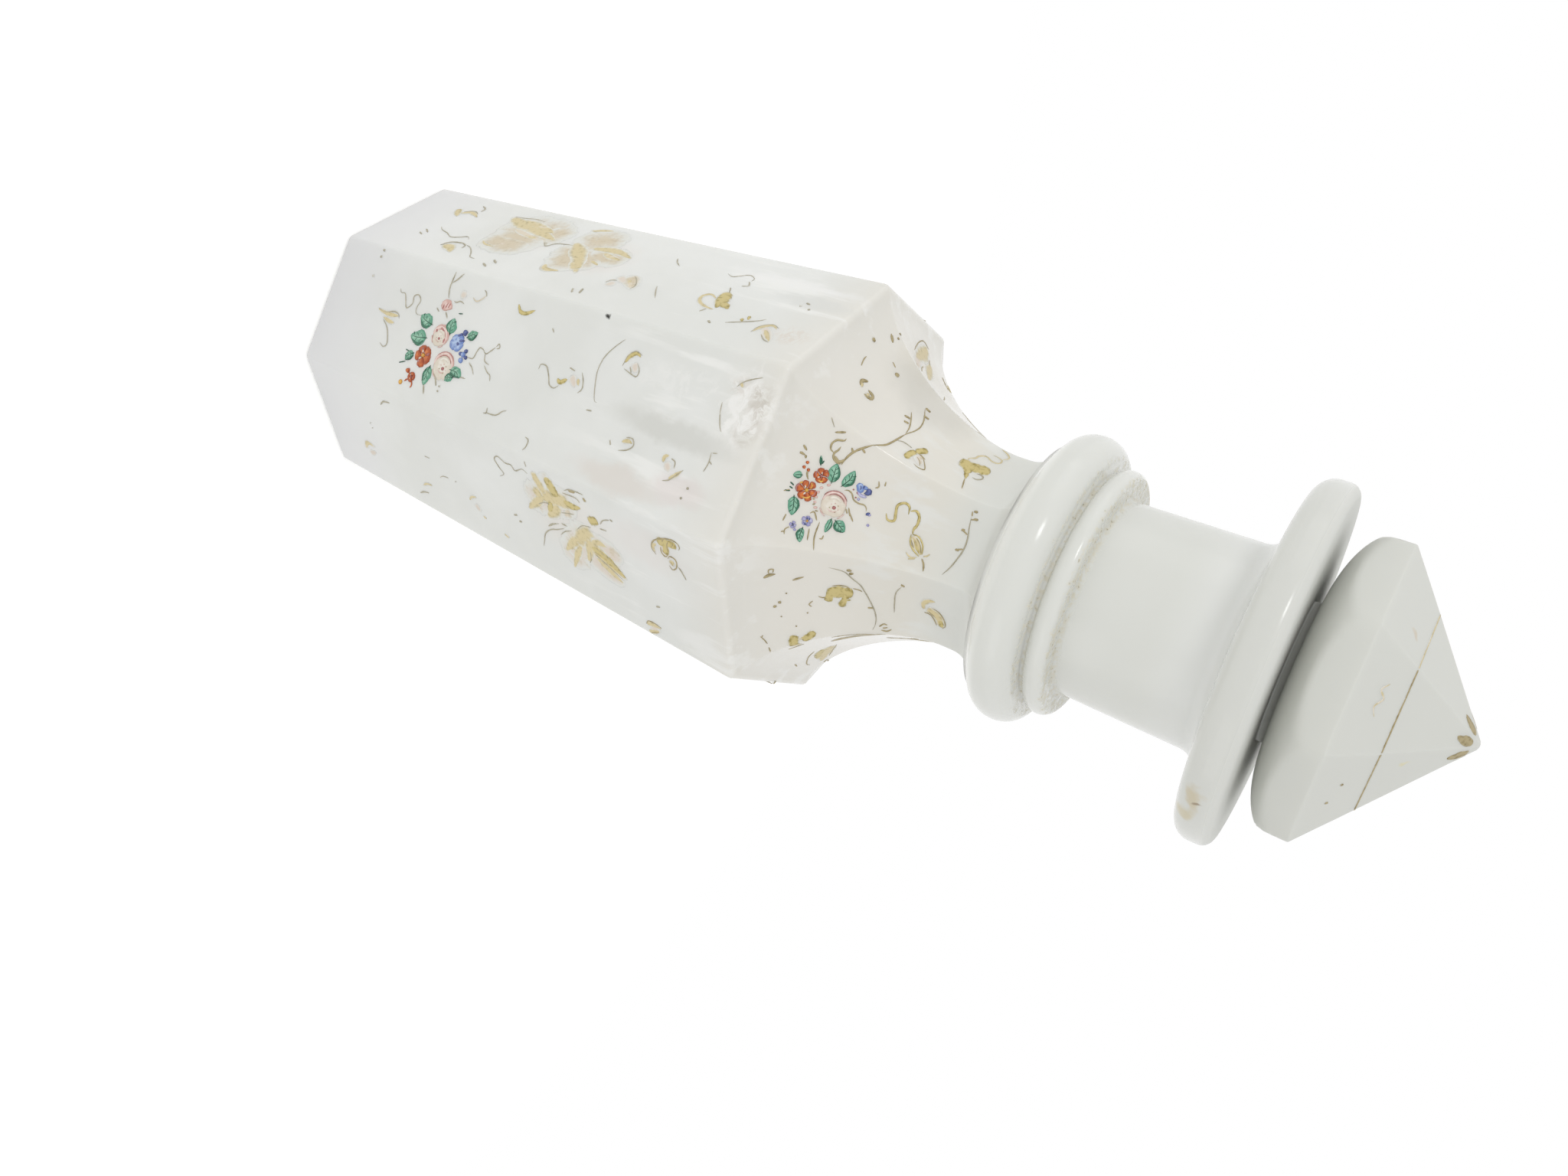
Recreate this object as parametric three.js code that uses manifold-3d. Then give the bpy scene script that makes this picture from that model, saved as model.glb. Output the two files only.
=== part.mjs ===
// A cut-glass carafe: an eight-sided bottle of milky opaline glass and the cut stopper that plugs its neck.
// Lengths are in millimetres. The foot stands on z = 0 with its centre at the origin, the neck points
// along +Z, and one of the eight flats faces -Y.
// Each piece is turned as a round blank, and facets are then cut into it: the solid is what the blank and
// the eight-sided form of the cuts have in common.

import * as THREE from 'three';
import { mergeVertices } from 'three/addons/utils/BufferGeometryUtils.js';
import Module from 'manifold-3d';

const wasm = await Module();
wasm.setup();

// Cutting
const SIDES = 8;
const CUT_ALLOWANCE = 2;            // glass outside the facets that the cuts take away

// Body and shoulder, with radii to the corners of the eight-sided section
const FOOT_RADIUS = 38;
const FOOT_BEVEL = 0.8;
const SHOULDER_RADIUS = 45;
const SHOULDER_HEIGHT = 125;
const SHOULDER_RISE = 34;           // height in which the shoulder facets sweep in to the waist
const SHOULDER_SWEEP = 1.6;         // hollowness of that sweep: 1 is straight and 2 a quarter ellipse
const WAIST_RADIUS = 20.9;
const WAIST_LENGTH = 2.5;
const RUN_OUT_RADIUS = 5.5;         // hollow where the shoulder cuts end in the flare of the collar

// Collar: a flare and two rounded rings at the foot of the neck
const FLARE_RADIUS = 25.2;
const FLARE_HEIGHT = 6;
const RING_RADIUS = 28.8;
const RING_WIDTH = 9;
const GROOVE_RADIUS = 23;
const GROOVE_WIDTH = 0.9;
const SMALL_RING_RADIUS = 24.4;
const SMALL_RING_WIDTH = 3.9;

// Neck and lip
const NECK_RADIUS = 19.2;
const NECK_TOP_RADIUS = 19.7;
const NECK_LENGTH = 23.9;           // from the small ring to the fillet under the lip
const NECK_FILLET = 1;
const LIP_FILLET = 3.2;
const LIP_RADIUS = 33.9;
const LIP_THICKNESS = 7;            // at the rim
const LIP_UNDER_SLOPE = 0.9;        // rise of the lip's underside on its way out to the rim
const RIM_LOWER_ROUND = 3.4;
const RIM_UPPER_ROUND = 2.2;
const MOUTH_BEVEL = 0.8;

// Inside
const WALL = 4.5;                   // thickness behind the middle of a flat
const SHOULDER_WALL = 5;            // how far the cavity's shoulder lies below the outer one
const FLOOR_THICKNESS = 9;
const FLOOR_ROUND = 10;
const BORE_RADIUS = 12;

// Ground joint between neck and stopper
const SOCKET_DEPTH = 27;
const SOCKET_TAPER = 0.05;          // growth in radius for each unit of height
const PLUG_DEPTH = 24;
const PLUG_BEVEL = 1.2;
const PLUG_CLEARANCE = 0.3;

// Stopper head
const HEAD_GAP = 1.2;               // daylight between the lip and the head
const HEAD_RADIUS = 28.5;           // to the corners
const HEAD_UNDERSIDE = 7;           // height of the rounded underside
const HEAD_EDGE = 2.6;              // height of the upright edge
const HEAD_POINT = 20.5;            // height of the eight-sided point above the edge
const CORNER_EASE = 0.4;            // how far the blank blunts the corners of the head

// Fineness of the turned surfaces
const TURNED_STEPS = 48;
const ARC_STEPS = 4;
const SWEEP_STEPS = 10;

const OPALINE = { color: 0xe9ebe6, roughness: 0.16, metalness: 0 };

// Levels, from the foot up
const shoulderTop = SHOULDER_HEIGHT + SHOULDER_RISE;
const waistTop = shoulderTop + WAIST_LENGTH;
const flareTop = waistTop + FLARE_HEIGHT;
const ringTop = flareTop + RING_WIDTH;
const grooveTop = ringTop + GROOVE_WIDTH;
const smallRingTop = grooveTop + SMALL_RING_WIDTH;
const neckTop = smallRingTop + NECK_LENGTH;
const lipUnderside = neckTop + LIP_FILLET;
const rimBottom = lipUnderside + LIP_UNDER_SLOPE;
const lipTop = rimBottom + LIP_THICKNESS;
const plugEnd = lipTop - PLUG_DEPTH;
const headBottom = lipTop + HEAD_GAP;
const edgeBottom = headBottom + HEAD_UNDERSIDE;
const edgeTop = edgeBottom + HEAD_EDGE;
const headTip = edgeTop + HEAD_POINT;

// Distance from the axis to the middle of a flat, for a section with this corner radius.
function toFlat(cornerRadius) {
  return cornerRadius * Math.cos(Math.PI / SIDES);
}

// Wall of the ground joint at a height, which the plug follows inside its clearance.
function socketRadius(height) {
  return BORE_RADIUS + SOCKET_TAPER * (height - (lipTop - SOCKET_DEPTH));
}

// Draws the hollow sweep of a shoulder: a superellipse from a wide radius in and up to a narrow one.
function sweepIn(path, wideRadius, lowHeight, narrowRadius, highHeight) {
  const power = 2 / SHOULDER_SWEEP;
  for (let step = 1; step <= SWEEP_STEPS; step++) {
    const angle = (step / SWEEP_STEPS) * (Math.PI / 2);
    const inward = Math.sin(angle) ** power;
    const upward = 1 - Math.max(0, Math.cos(angle)) ** power;
    path.lineTo(
      wideRadius + (narrowRadius - wideRadius) * inward,
      lowHeight + (highHeight - lowHeight) * upward
    );
  }
}

// Draws a rounded ring that stands out from a root radius, and ends back on that radius.
function ringBulge(path, rootRadius, crestRadius, bottom, width) {
  const middle = bottom + width / 2;
  path.absellipse(rootRadius, middle, crestRadius - rootRadius, width / 2, -Math.PI / 2, Math.PI / 2, false);
}

// Turns a profile of (radius, height) about the axis. Eight steps give the form of the cuts, whose
// corners start half a side round from -Y so that a flat faces it.
function turn(path, steps) {
  const firstAngle = Math.PI / steps;
  const geometry = new THREE.LatheGeometry(path.getPoints(ARC_STEPS), steps, firstAngle);
  geometry.rotateX(Math.PI / 2);
  return toSolid(geometry);
}

// Makes a closed solid of a geometry, leaving out the empty triangles on the axis.
function toSolid(geometry) {
  geometry.deleteAttribute('normal');
  geometry.deleteAttribute('uv');
  const merged = mergeVertices(geometry);
  const corners = merged.index.array;
  const triangles = [];
  for (let at = 0; at < corners.length; at += 3) {
    const [a, b, c] = [corners[at], corners[at + 1], corners[at + 2]];
    if (a !== b && b !== c && c !== a) {
      triangles.push(a, b, c);
    }
  }
  return new wasm.Manifold(
    new wasm.Mesh({
      numProp: 3,
      vertProperties: new Float32Array(merged.attributes.position.array),
      triVerts: new Uint32Array(triangles),
    })
  );
}

function toMesh(name, solid, finish) {
  const { vertProperties, triVerts } = solid.getMesh();
  const geometry = new THREE.BufferGeometry();
  geometry.setAttribute('position', new THREE.BufferAttribute(vertProperties, 3));
  geometry.setIndex(new THREE.BufferAttribute(triVerts, 1));
  geometry.computeVertexNormals();
  const mesh = new THREE.Mesh(geometry, new THREE.MeshStandardMaterial(finish));
  mesh.name = name;
  return mesh;
}

// Round blank of the bottle: a plain body, the collar's flare and rings, the neck and the flat lip.
function bottleBlank() {
  const blankRadius = SHOULDER_RADIUS + CUT_ALLOWANCE;
  const path = new THREE.Path();
  path.moveTo(0, -CUT_ALLOWANCE);
  path.lineTo(blankRadius, -CUT_ALLOWANCE);
  path.lineTo(blankRadius, SHOULDER_HEIGHT + CUT_ALLOWANCE);
  path.lineTo(FLARE_RADIUS, waistTop);
  path.lineTo(FLARE_RADIUS, flareTop);
  ringBulge(path, FLARE_RADIUS, RING_RADIUS, flareTop, RING_WIDTH);
  path.lineTo(GROOVE_RADIUS, ringTop);
  path.lineTo(GROOVE_RADIUS, grooveTop);
  ringBulge(path, GROOVE_RADIUS, SMALL_RING_RADIUS, grooveTop, SMALL_RING_WIDTH);
  path.lineTo(NECK_RADIUS + NECK_FILLET, smallRingTop);
  path.quadraticCurveTo(NECK_RADIUS, smallRingTop, NECK_RADIUS, smallRingTop + NECK_FILLET);
  path.lineTo(NECK_TOP_RADIUS, neckTop);
  path.quadraticCurveTo(NECK_TOP_RADIUS, lipUnderside, NECK_TOP_RADIUS + LIP_FILLET, lipUnderside);
  path.absarc(LIP_RADIUS - RIM_LOWER_ROUND, rimBottom + RIM_LOWER_ROUND, RIM_LOWER_ROUND, -Math.PI / 2, 0);
  path.absarc(LIP_RADIUS - RIM_UPPER_ROUND, lipTop - RIM_UPPER_ROUND, RIM_UPPER_ROUND, 0, Math.PI / 2);
  path.lineTo(0, lipTop);
  return turn(path, TURNED_STEPS);
}

// Form of the bottle's cuts: tapering flats, hollow shoulder facets and their run-out in the flare.
function bottleCuts() {
  const clearRadius = SHOULDER_RADIUS + 2 * CUT_ALLOWANCE;
  const path = new THREE.Path();
  path.moveTo(0, 0);
  path.lineTo(FOOT_RADIUS - FOOT_BEVEL, 0);
  path.lineTo(FOOT_RADIUS, FOOT_BEVEL);
  path.lineTo(SHOULDER_RADIUS, SHOULDER_HEIGHT);
  sweepIn(path, SHOULDER_RADIUS, SHOULDER_HEIGHT, WAIST_RADIUS, shoulderTop);
  path.lineTo(WAIST_RADIUS, waistTop);
  path.absarc(WAIST_RADIUS + RUN_OUT_RADIUS, waistTop, RUN_OUT_RADIUS, Math.PI, Math.PI / 2, true);
  path.lineTo(clearRadius, waistTop + RUN_OUT_RADIUS);
  path.lineTo(clearRadius, lipTop + CUT_ALLOWANCE);
  path.lineTo(0, lipTop + CUT_ALLOWANCE);
  return turn(path, SIDES);
}

// Inside of the bottle: the round cavity, the bore and the tapered socket for the plug.
function bottleCavity() {
  const floorRadius = toFlat(FOOT_RADIUS) - WALL;
  const shoulderRadius = toFlat(SHOULDER_RADIUS) - WALL;
  const mouthRadius = socketRadius(lipTop) + MOUTH_BEVEL;
  const path = new THREE.Path();
  path.moveTo(0, FLOOR_THICKNESS);
  path.lineTo(floorRadius - FLOOR_ROUND, FLOOR_THICKNESS);
  path.quadraticCurveTo(floorRadius, FLOOR_THICKNESS, floorRadius, FLOOR_THICKNESS + FLOOR_ROUND);
  path.lineTo(shoulderRadius, SHOULDER_HEIGHT - SHOULDER_WALL);
  sweepIn(path, shoulderRadius, SHOULDER_HEIGHT - SHOULDER_WALL, BORE_RADIUS, shoulderTop - SHOULDER_WALL);
  path.lineTo(BORE_RADIUS, lipTop - SOCKET_DEPTH);
  path.lineTo(socketRadius(lipTop - MOUTH_BEVEL), lipTop - MOUTH_BEVEL);
  path.lineTo(mouthRadius, lipTop);
  path.lineTo(mouthRadius, lipTop + CUT_ALLOWANCE);
  path.lineTo(0, lipTop + CUT_ALLOWANCE);
  return turn(path, TURNED_STEPS);
}

// Round blank of the stopper: the ground plug and the rounded underside of the head.
function stopperBlank() {
  const plugRadius = (height) => socketRadius(height) - PLUG_CLEARANCE;
  const headRadius = HEAD_RADIUS - CORNER_EASE;
  const path = new THREE.Path();
  path.moveTo(0, plugEnd);
  path.lineTo(plugRadius(plugEnd) - PLUG_BEVEL, plugEnd);
  path.lineTo(plugRadius(plugEnd + PLUG_BEVEL), plugEnd + PLUG_BEVEL);
  path.lineTo(plugRadius(headBottom), headBottom);
  path.absellipse(
    plugRadius(headBottom), edgeBottom,
    headRadius - plugRadius(headBottom), HEAD_UNDERSIDE,
    -Math.PI / 2, 0, false
  );
  path.lineTo(headRadius, headTip + CUT_ALLOWANCE);
  path.lineTo(0, headTip + CUT_ALLOWANCE);
  return turn(path, TURNED_STEPS);
}

// Form of the stopper's cuts: eight upright sides under an eight-sided point.
function stopperCuts() {
  const path = new THREE.Path();
  path.moveTo(0, plugEnd - CUT_ALLOWANCE);
  path.lineTo(HEAD_RADIUS, plugEnd - CUT_ALLOWANCE);
  path.lineTo(HEAD_RADIUS, edgeTop);
  path.lineTo(0, headTip);
  return turn(path, SIDES);
}

function makeBottle() {
  const outside = bottleBlank().intersect(bottleCuts());
  return toMesh('bottle', outside.subtract(bottleCavity()), OPALINE);
}

function makeStopper() {
  return toMesh('stopper', stopperBlank().intersect(stopperCuts()), OPALINE);
}

const carafe = new THREE.Group();
carafe.add(makeBottle(), makeStopper());

export default carafe;
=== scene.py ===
"""A cut carafe of milky opaline glass with its stopper, enamel flowers and worn gilding.

Sizes in the classes are millimetres and become metres where the meshes are made. The foot stands on
z = 0, the neck points along +Z and the painted flat faces -Y. A place on the glass is given by its facet,
as an angle turned from -Y towards +X, its distance along the facet and its distance across it.
"""

import bisect
import logging
import math
import random
from abc import ABC, abstractmethod
from collections.abc import Sequence
from dataclasses import dataclass, field
from enum import Enum
from typing import NamedTuple

import bmesh
import bpy
from mathutils import Matrix, Vector


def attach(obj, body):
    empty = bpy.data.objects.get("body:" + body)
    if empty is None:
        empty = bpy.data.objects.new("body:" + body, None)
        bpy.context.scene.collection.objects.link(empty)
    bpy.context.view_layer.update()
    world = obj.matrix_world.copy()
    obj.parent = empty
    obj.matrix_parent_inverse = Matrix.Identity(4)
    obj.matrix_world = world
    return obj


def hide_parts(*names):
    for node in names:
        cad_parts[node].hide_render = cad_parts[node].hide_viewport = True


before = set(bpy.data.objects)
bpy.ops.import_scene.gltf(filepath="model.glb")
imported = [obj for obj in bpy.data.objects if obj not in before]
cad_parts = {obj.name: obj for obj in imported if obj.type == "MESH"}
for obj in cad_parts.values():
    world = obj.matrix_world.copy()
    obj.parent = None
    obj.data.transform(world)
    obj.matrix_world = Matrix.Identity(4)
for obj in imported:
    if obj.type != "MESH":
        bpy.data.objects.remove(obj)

log = logging.getLogger("carafe")

MM = 0.001
SIDES = 8
SIDE_ANGLE = 360 / SIDES
HALF_SIDE = math.pi / SIDES
RIDGE_SPANS = 5
ACROSS_FLAT = (-1, -0.94, -0.8, -0.6, -0.4, -0.2, 0, 0.2, 0.4, 0.6, 0.8, 0.94, 1)

Point = tuple[float, float]
Triple = tuple[float, float, float]
Colour = tuple[float, float, float, float]
Tree = bpy.types.NodeTree
Socket = bpy.types.NodeSocket


def linear(code: str) -> Colour:
    """Turns an sRGB colour into the linear values that shaders use.

    Args:
        code: The colour as six hex digits.

    Returns:
        Linear red, green and blue, and an alpha of 1.
    """
    channels = [int(code[at:at + 2], 16) / 255 for at in (0, 2, 4)]
    bent = [c / 12.92 if c <= 0.04045 else ((c + 0.055) / 1.055) ** 2.4 for c in channels]
    return (*bent, 1.0)


def add_node(
    tree: Tree, kind: str, inputs: dict[int | str, object] | None = None, **settings: object,
) -> bpy.types.NodeOutputs:
    """Adds a node with its settings and what its sockets take.

    Args:
        tree: The material's or the world's node tree.
        kind: Blender's name for the node type, without the ShaderNode before it.
        inputs: A constant or another node's output for each input socket, by name or place.
        settings: Values for the node's own properties.

    Returns:
        The new node's output sockets.
    """
    node = tree.nodes.new(f"ShaderNode{kind}")
    for key, value in settings.items():
        setattr(node, key, value)
    for key, value in (inputs or {}).items():
        if isinstance(value, Socket):
            tree.links.new(value, node.inputs[key])
        else:
            node.inputs[key].default_value = value
    return node.outputs


def soften(outline: Sequence[Point], radii: dict[int, float], steps: int = 4) -> list[Point]:
    """Rounds chosen corners of an open outline.

    Args:
        outline: The corners as (radius, height).
        radii: Radius of the rounding for each corner that gets one, by its place in the outline.
        steps: Number of spans that a rounding takes.

    Returns:
        The outline with each such corner drawn as a short curve.
    """
    out: list[Point] = []
    for place, corner in enumerate(outline):
        if place not in radii:
            out.append(corner)
            continue
        here = Vector(corner)
        before = Vector(outline[place - 1]) - here
        after = Vector(outline[place + 1]) - here
        half_angle = before.angle(after) / 2
        reach = min(radii[place] / math.tan(half_angle), before.length * 0.45, after.length * 0.9)
        start = here + before.normalized() * reach
        end = here + after.normalized() * reach
        for step in range(steps + 1):
            t = step / steps
            point = start * (1 - t) ** 2 + here * 2 * t * (1 - t) + end * t * t
            out.append((point.x, point.y))
    return out


def arc(centre: Point, radii: Point, first: float, last: float, steps: int) -> list[Point]:
    """Draws part of an ellipse.

    Args:
        centre: Its centre as (radius, height).
        radii: Its half width and half height.
        first: Angle of the first point in degrees.
        last: Angle of the last point in degrees.
        steps: Number of spans between them.

    Returns:
        The points of the arc, both ends included.
    """
    angles = [math.radians(first + (last - first) * step / steps) for step in range(steps + 1)]
    return [(centre[0] + radii[0] * math.cos(a), centre[1] + radii[1] * math.sin(a)) for a in angles]


def facet_axes(facet: float) -> tuple[Vector, Vector]:
    """Gives a facet's own directions.

    Args:
        facet: Angle of the facet in degrees.

    Returns:
        The level direction out of the facet and the level direction across it.
    """
    angle = math.radians(facet)
    outward = Vector((math.sin(angle), -math.cos(angle), 0))
    return outward, Vector((math.cos(angle), math.sin(angle), 0))


@dataclass(frozen=True)
class Station:
    """One level of a cut glass form.

    A round blank of radius `blank` is cut by eight flats whose corners lie at radius `corner`, and the
    ridges between the flats are polished round to radius `ridge`. Without corners the level is round.
    """

    height: float
    blank: float
    corner: float | None = None
    ridge: float = 0.5
    ground: bool = False

    def section(self) -> list[Vector]:
        """Draws the level as points around the axis, the same number and order for every level."""
        corner = self.corner if self.corner is not None else self.blank * 1.2
        flat = corner * math.cos(HALF_SIDE)
        ridge = min(self.ridge, flat * 0.3)
        centre = (flat - ridge) / math.cos(HALF_SIDE)
        half_width = (flat - ridge) * math.tan(HALF_SIDE)
        spots: list[Point] = []
        for step in range(RIDGE_SPANS, 0, -1):
            turn = HALF_SIDE * step / RIDGE_SPANS
            out = centre * math.cos(HALF_SIDE) + ridge * math.cos(turn)
            spots.append((out, -centre * math.sin(HALF_SIDE) - ridge * math.sin(turn)))
        spots += [(flat, half_width * share) for share in ACROSS_FLAT]
        spots += [(x, -y) for x, y in reversed(spots[1:RIDGE_SPANS])]
        points: list[Vector] = []
        for side in range(SIDES):
            outward, sideways = facet_axes(side * SIDE_ANGLE)
            for x, y in spots:
                reach = self.clipped(math.hypot(x, y)) / math.hypot(x, y)
                points.append((outward * x + sideways * y) * reach + Vector((0, 0, self.height)))
        return points

    def clipped(self, radius: float) -> float:
        """Limits a radius of the cut form by the round blank, with a soft change between the two.

        Args:
            radius: Distance of the cut form's surface from the axis.

        Returns:
            Distance of the finished surface.
        """
        if self.corner is None:
            return self.blank
        softness = 0.25
        share = min(max(0.5 + (radius - self.blank) / (2 * softness), 0.0), 1.0)
        return radius * (1 - share) + self.blank * share - softness * share * (1 - share)


def ring_faces(low: Sequence[object], high: Sequence[object]) -> list[tuple[object, ...]]:
    """Pairs two closed rings of points into four-sided faces.

    Args:
        low: The first ring.
        high: The second ring, with as many points.

    Returns:
        The corners of each face: a point of the first ring, the next one, and their fellows on the second.
    """
    return list(zip(low, [*low[1:], low[0]], [*high[1:], high[0]], high))


def glass_piece(name: str, stations: Sequence[Station], finishes: Sequence["Finish"]) -> bpy.types.Object:
    """Skins a closed glass form over its levels, from a point on the axis to another.

    Args:
        name: Name of the piece.
        stations: The levels in order; the first and the last close on the axis.
        finishes: The polished finish and the ground one.

    Returns:
        The new object, already in the scene.
    """
    shape = bmesh.new()
    first = shape.verts.new(Vector((0, 0, stations[0].height)) * MM)
    rings = [[shape.verts.new(p * MM) for p in station.section()] for station in stations]
    last = shape.verts.new(Vector((0, 0, stations[-1].height)) * MM)
    for low, low_after, high_after, high in ring_faces(rings[0], rings[-1]):
        shape.faces.new((first, low_after, low))
        shape.faces.new((last, high, high_after))
    for level, (low, high) in enumerate(zip(rings, rings[1:])):
        for corners in ring_faces(low, high):
            face = shape.faces.new(corners)
            face.material_index = int(stations[level].ground and stations[level + 1].ground)
    return finish_mesh(name, shape, finishes)


def finish_mesh(name: str, shape: bmesh.types.BMesh, finishes: Sequence["Finish"]) -> bpy.types.Object:
    """Turns a built shape into a smooth-shaded object.

    Args:
        name: Name of the piece.
        shape: The built shape, which is freed.
        finishes: The finishes in the order of the faces' indices.

    Returns:
        The new object, already in the scene.
    """
    bmesh.ops.recalc_face_normals(shape, faces=shape.faces)
    for face in shape.faces:
        face.smooth = True
    mesh = bpy.data.meshes.new(name)
    shape.to_mesh(mesh)
    shape.free()
    for finish in finishes:
        mesh.materials.append(finish.material())
    piece = bpy.data.objects.new(name, mesh)
    bpy.context.scene.collection.objects.link(piece)
    log.info("%s: %d faces", name, len(mesh.polygons))
    return piece


class Finish(ABC):
    """How a surface was made and what that gives the eye."""

    name: str

    @abstractmethod
    def surface(self, tree: Tree) -> Socket:
        """Builds the nodes and gives the shader's output."""

    def material(self) -> bpy.types.Material:
        """Makes the material with its nodes, or finds it if it was made before."""
        made = bpy.data.materials.get(self.name)
        if made:
            return made
        made = bpy.data.materials.new(self.name)
        made.use_nodes = True
        made.node_tree.nodes.clear()
        surface = self.surface(made.node_tree)
        add_node(made.node_tree, "OutputMaterial", {"Surface": surface})
        return made


@dataclass(frozen=True)
class StainAndShade:
    """A soft-edged patch of another colour in or on the glass: mostly staining, and on the upper shoulder
    painted shade.

    It is an egg of `size` across, outward and up, whose middle lies `outward` from the axis. With a
    `mottle`, the patch breaks up into flecks that far apart.
    """

    facet: float
    across: float
    height: float
    outward: float
    size: Triple
    colour: str
    strength: float
    mottle: float = 0.0


class Limit(NamedTuple):
    """A value that lets a tone show: not at all at `low`, and as much as `top` says at `high`."""

    value: Socket
    low: float
    high: float
    top: float = 1.0


def where(tree: Tree, *limits: Limit | Socket) -> Socket:
    """Finds how much all of some limits let a tone show.

    Args:
        tree: The material's node tree.
        limits: The limits, or shares that were found before.

    Returns:
        Their product, which changes softly between the ends of each limit.
    """
    shares: list[Socket] = []
    for limit in limits:
        if isinstance(limit, Limit):
            (low, start), (high, end) = sorted([(limit.low, 0.0), (limit.high, limit.top)])
            ends = {"From Min": low, "From Max": high, "To Min": start, "To Max": end}
            inputs = {"Value": limit.value, **ends}
            shares.append(add_node(tree, "MapRange", inputs, interpolation_type="SMOOTHSTEP")[0])
        else:
            shares.append(limit)
    product = shares[0]
    for share in shares[1:]:
        product = add_node(tree, "Math", {0: product, 1: share}, operation="MULTIPLY")[0]
    return product


def toned(tree: Tree, colour: Socket | Colour, tone: str, *limits: Limit | Socket) -> Socket:
    """Lays a tone over a colour where some limits let it show.

    Args:
        tree: The material's node tree.
        colour: The colour so far.
        tone: The tone as six hex digits.
        limits: What lets it show.

    Returns:
        The colour with the tone.
    """
    mixed = {0: where(tree, *limits), 6: colour, 7: linear(tone)}
    return add_node(tree, "Mix", mixed, data_type="RGBA")[2]


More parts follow.
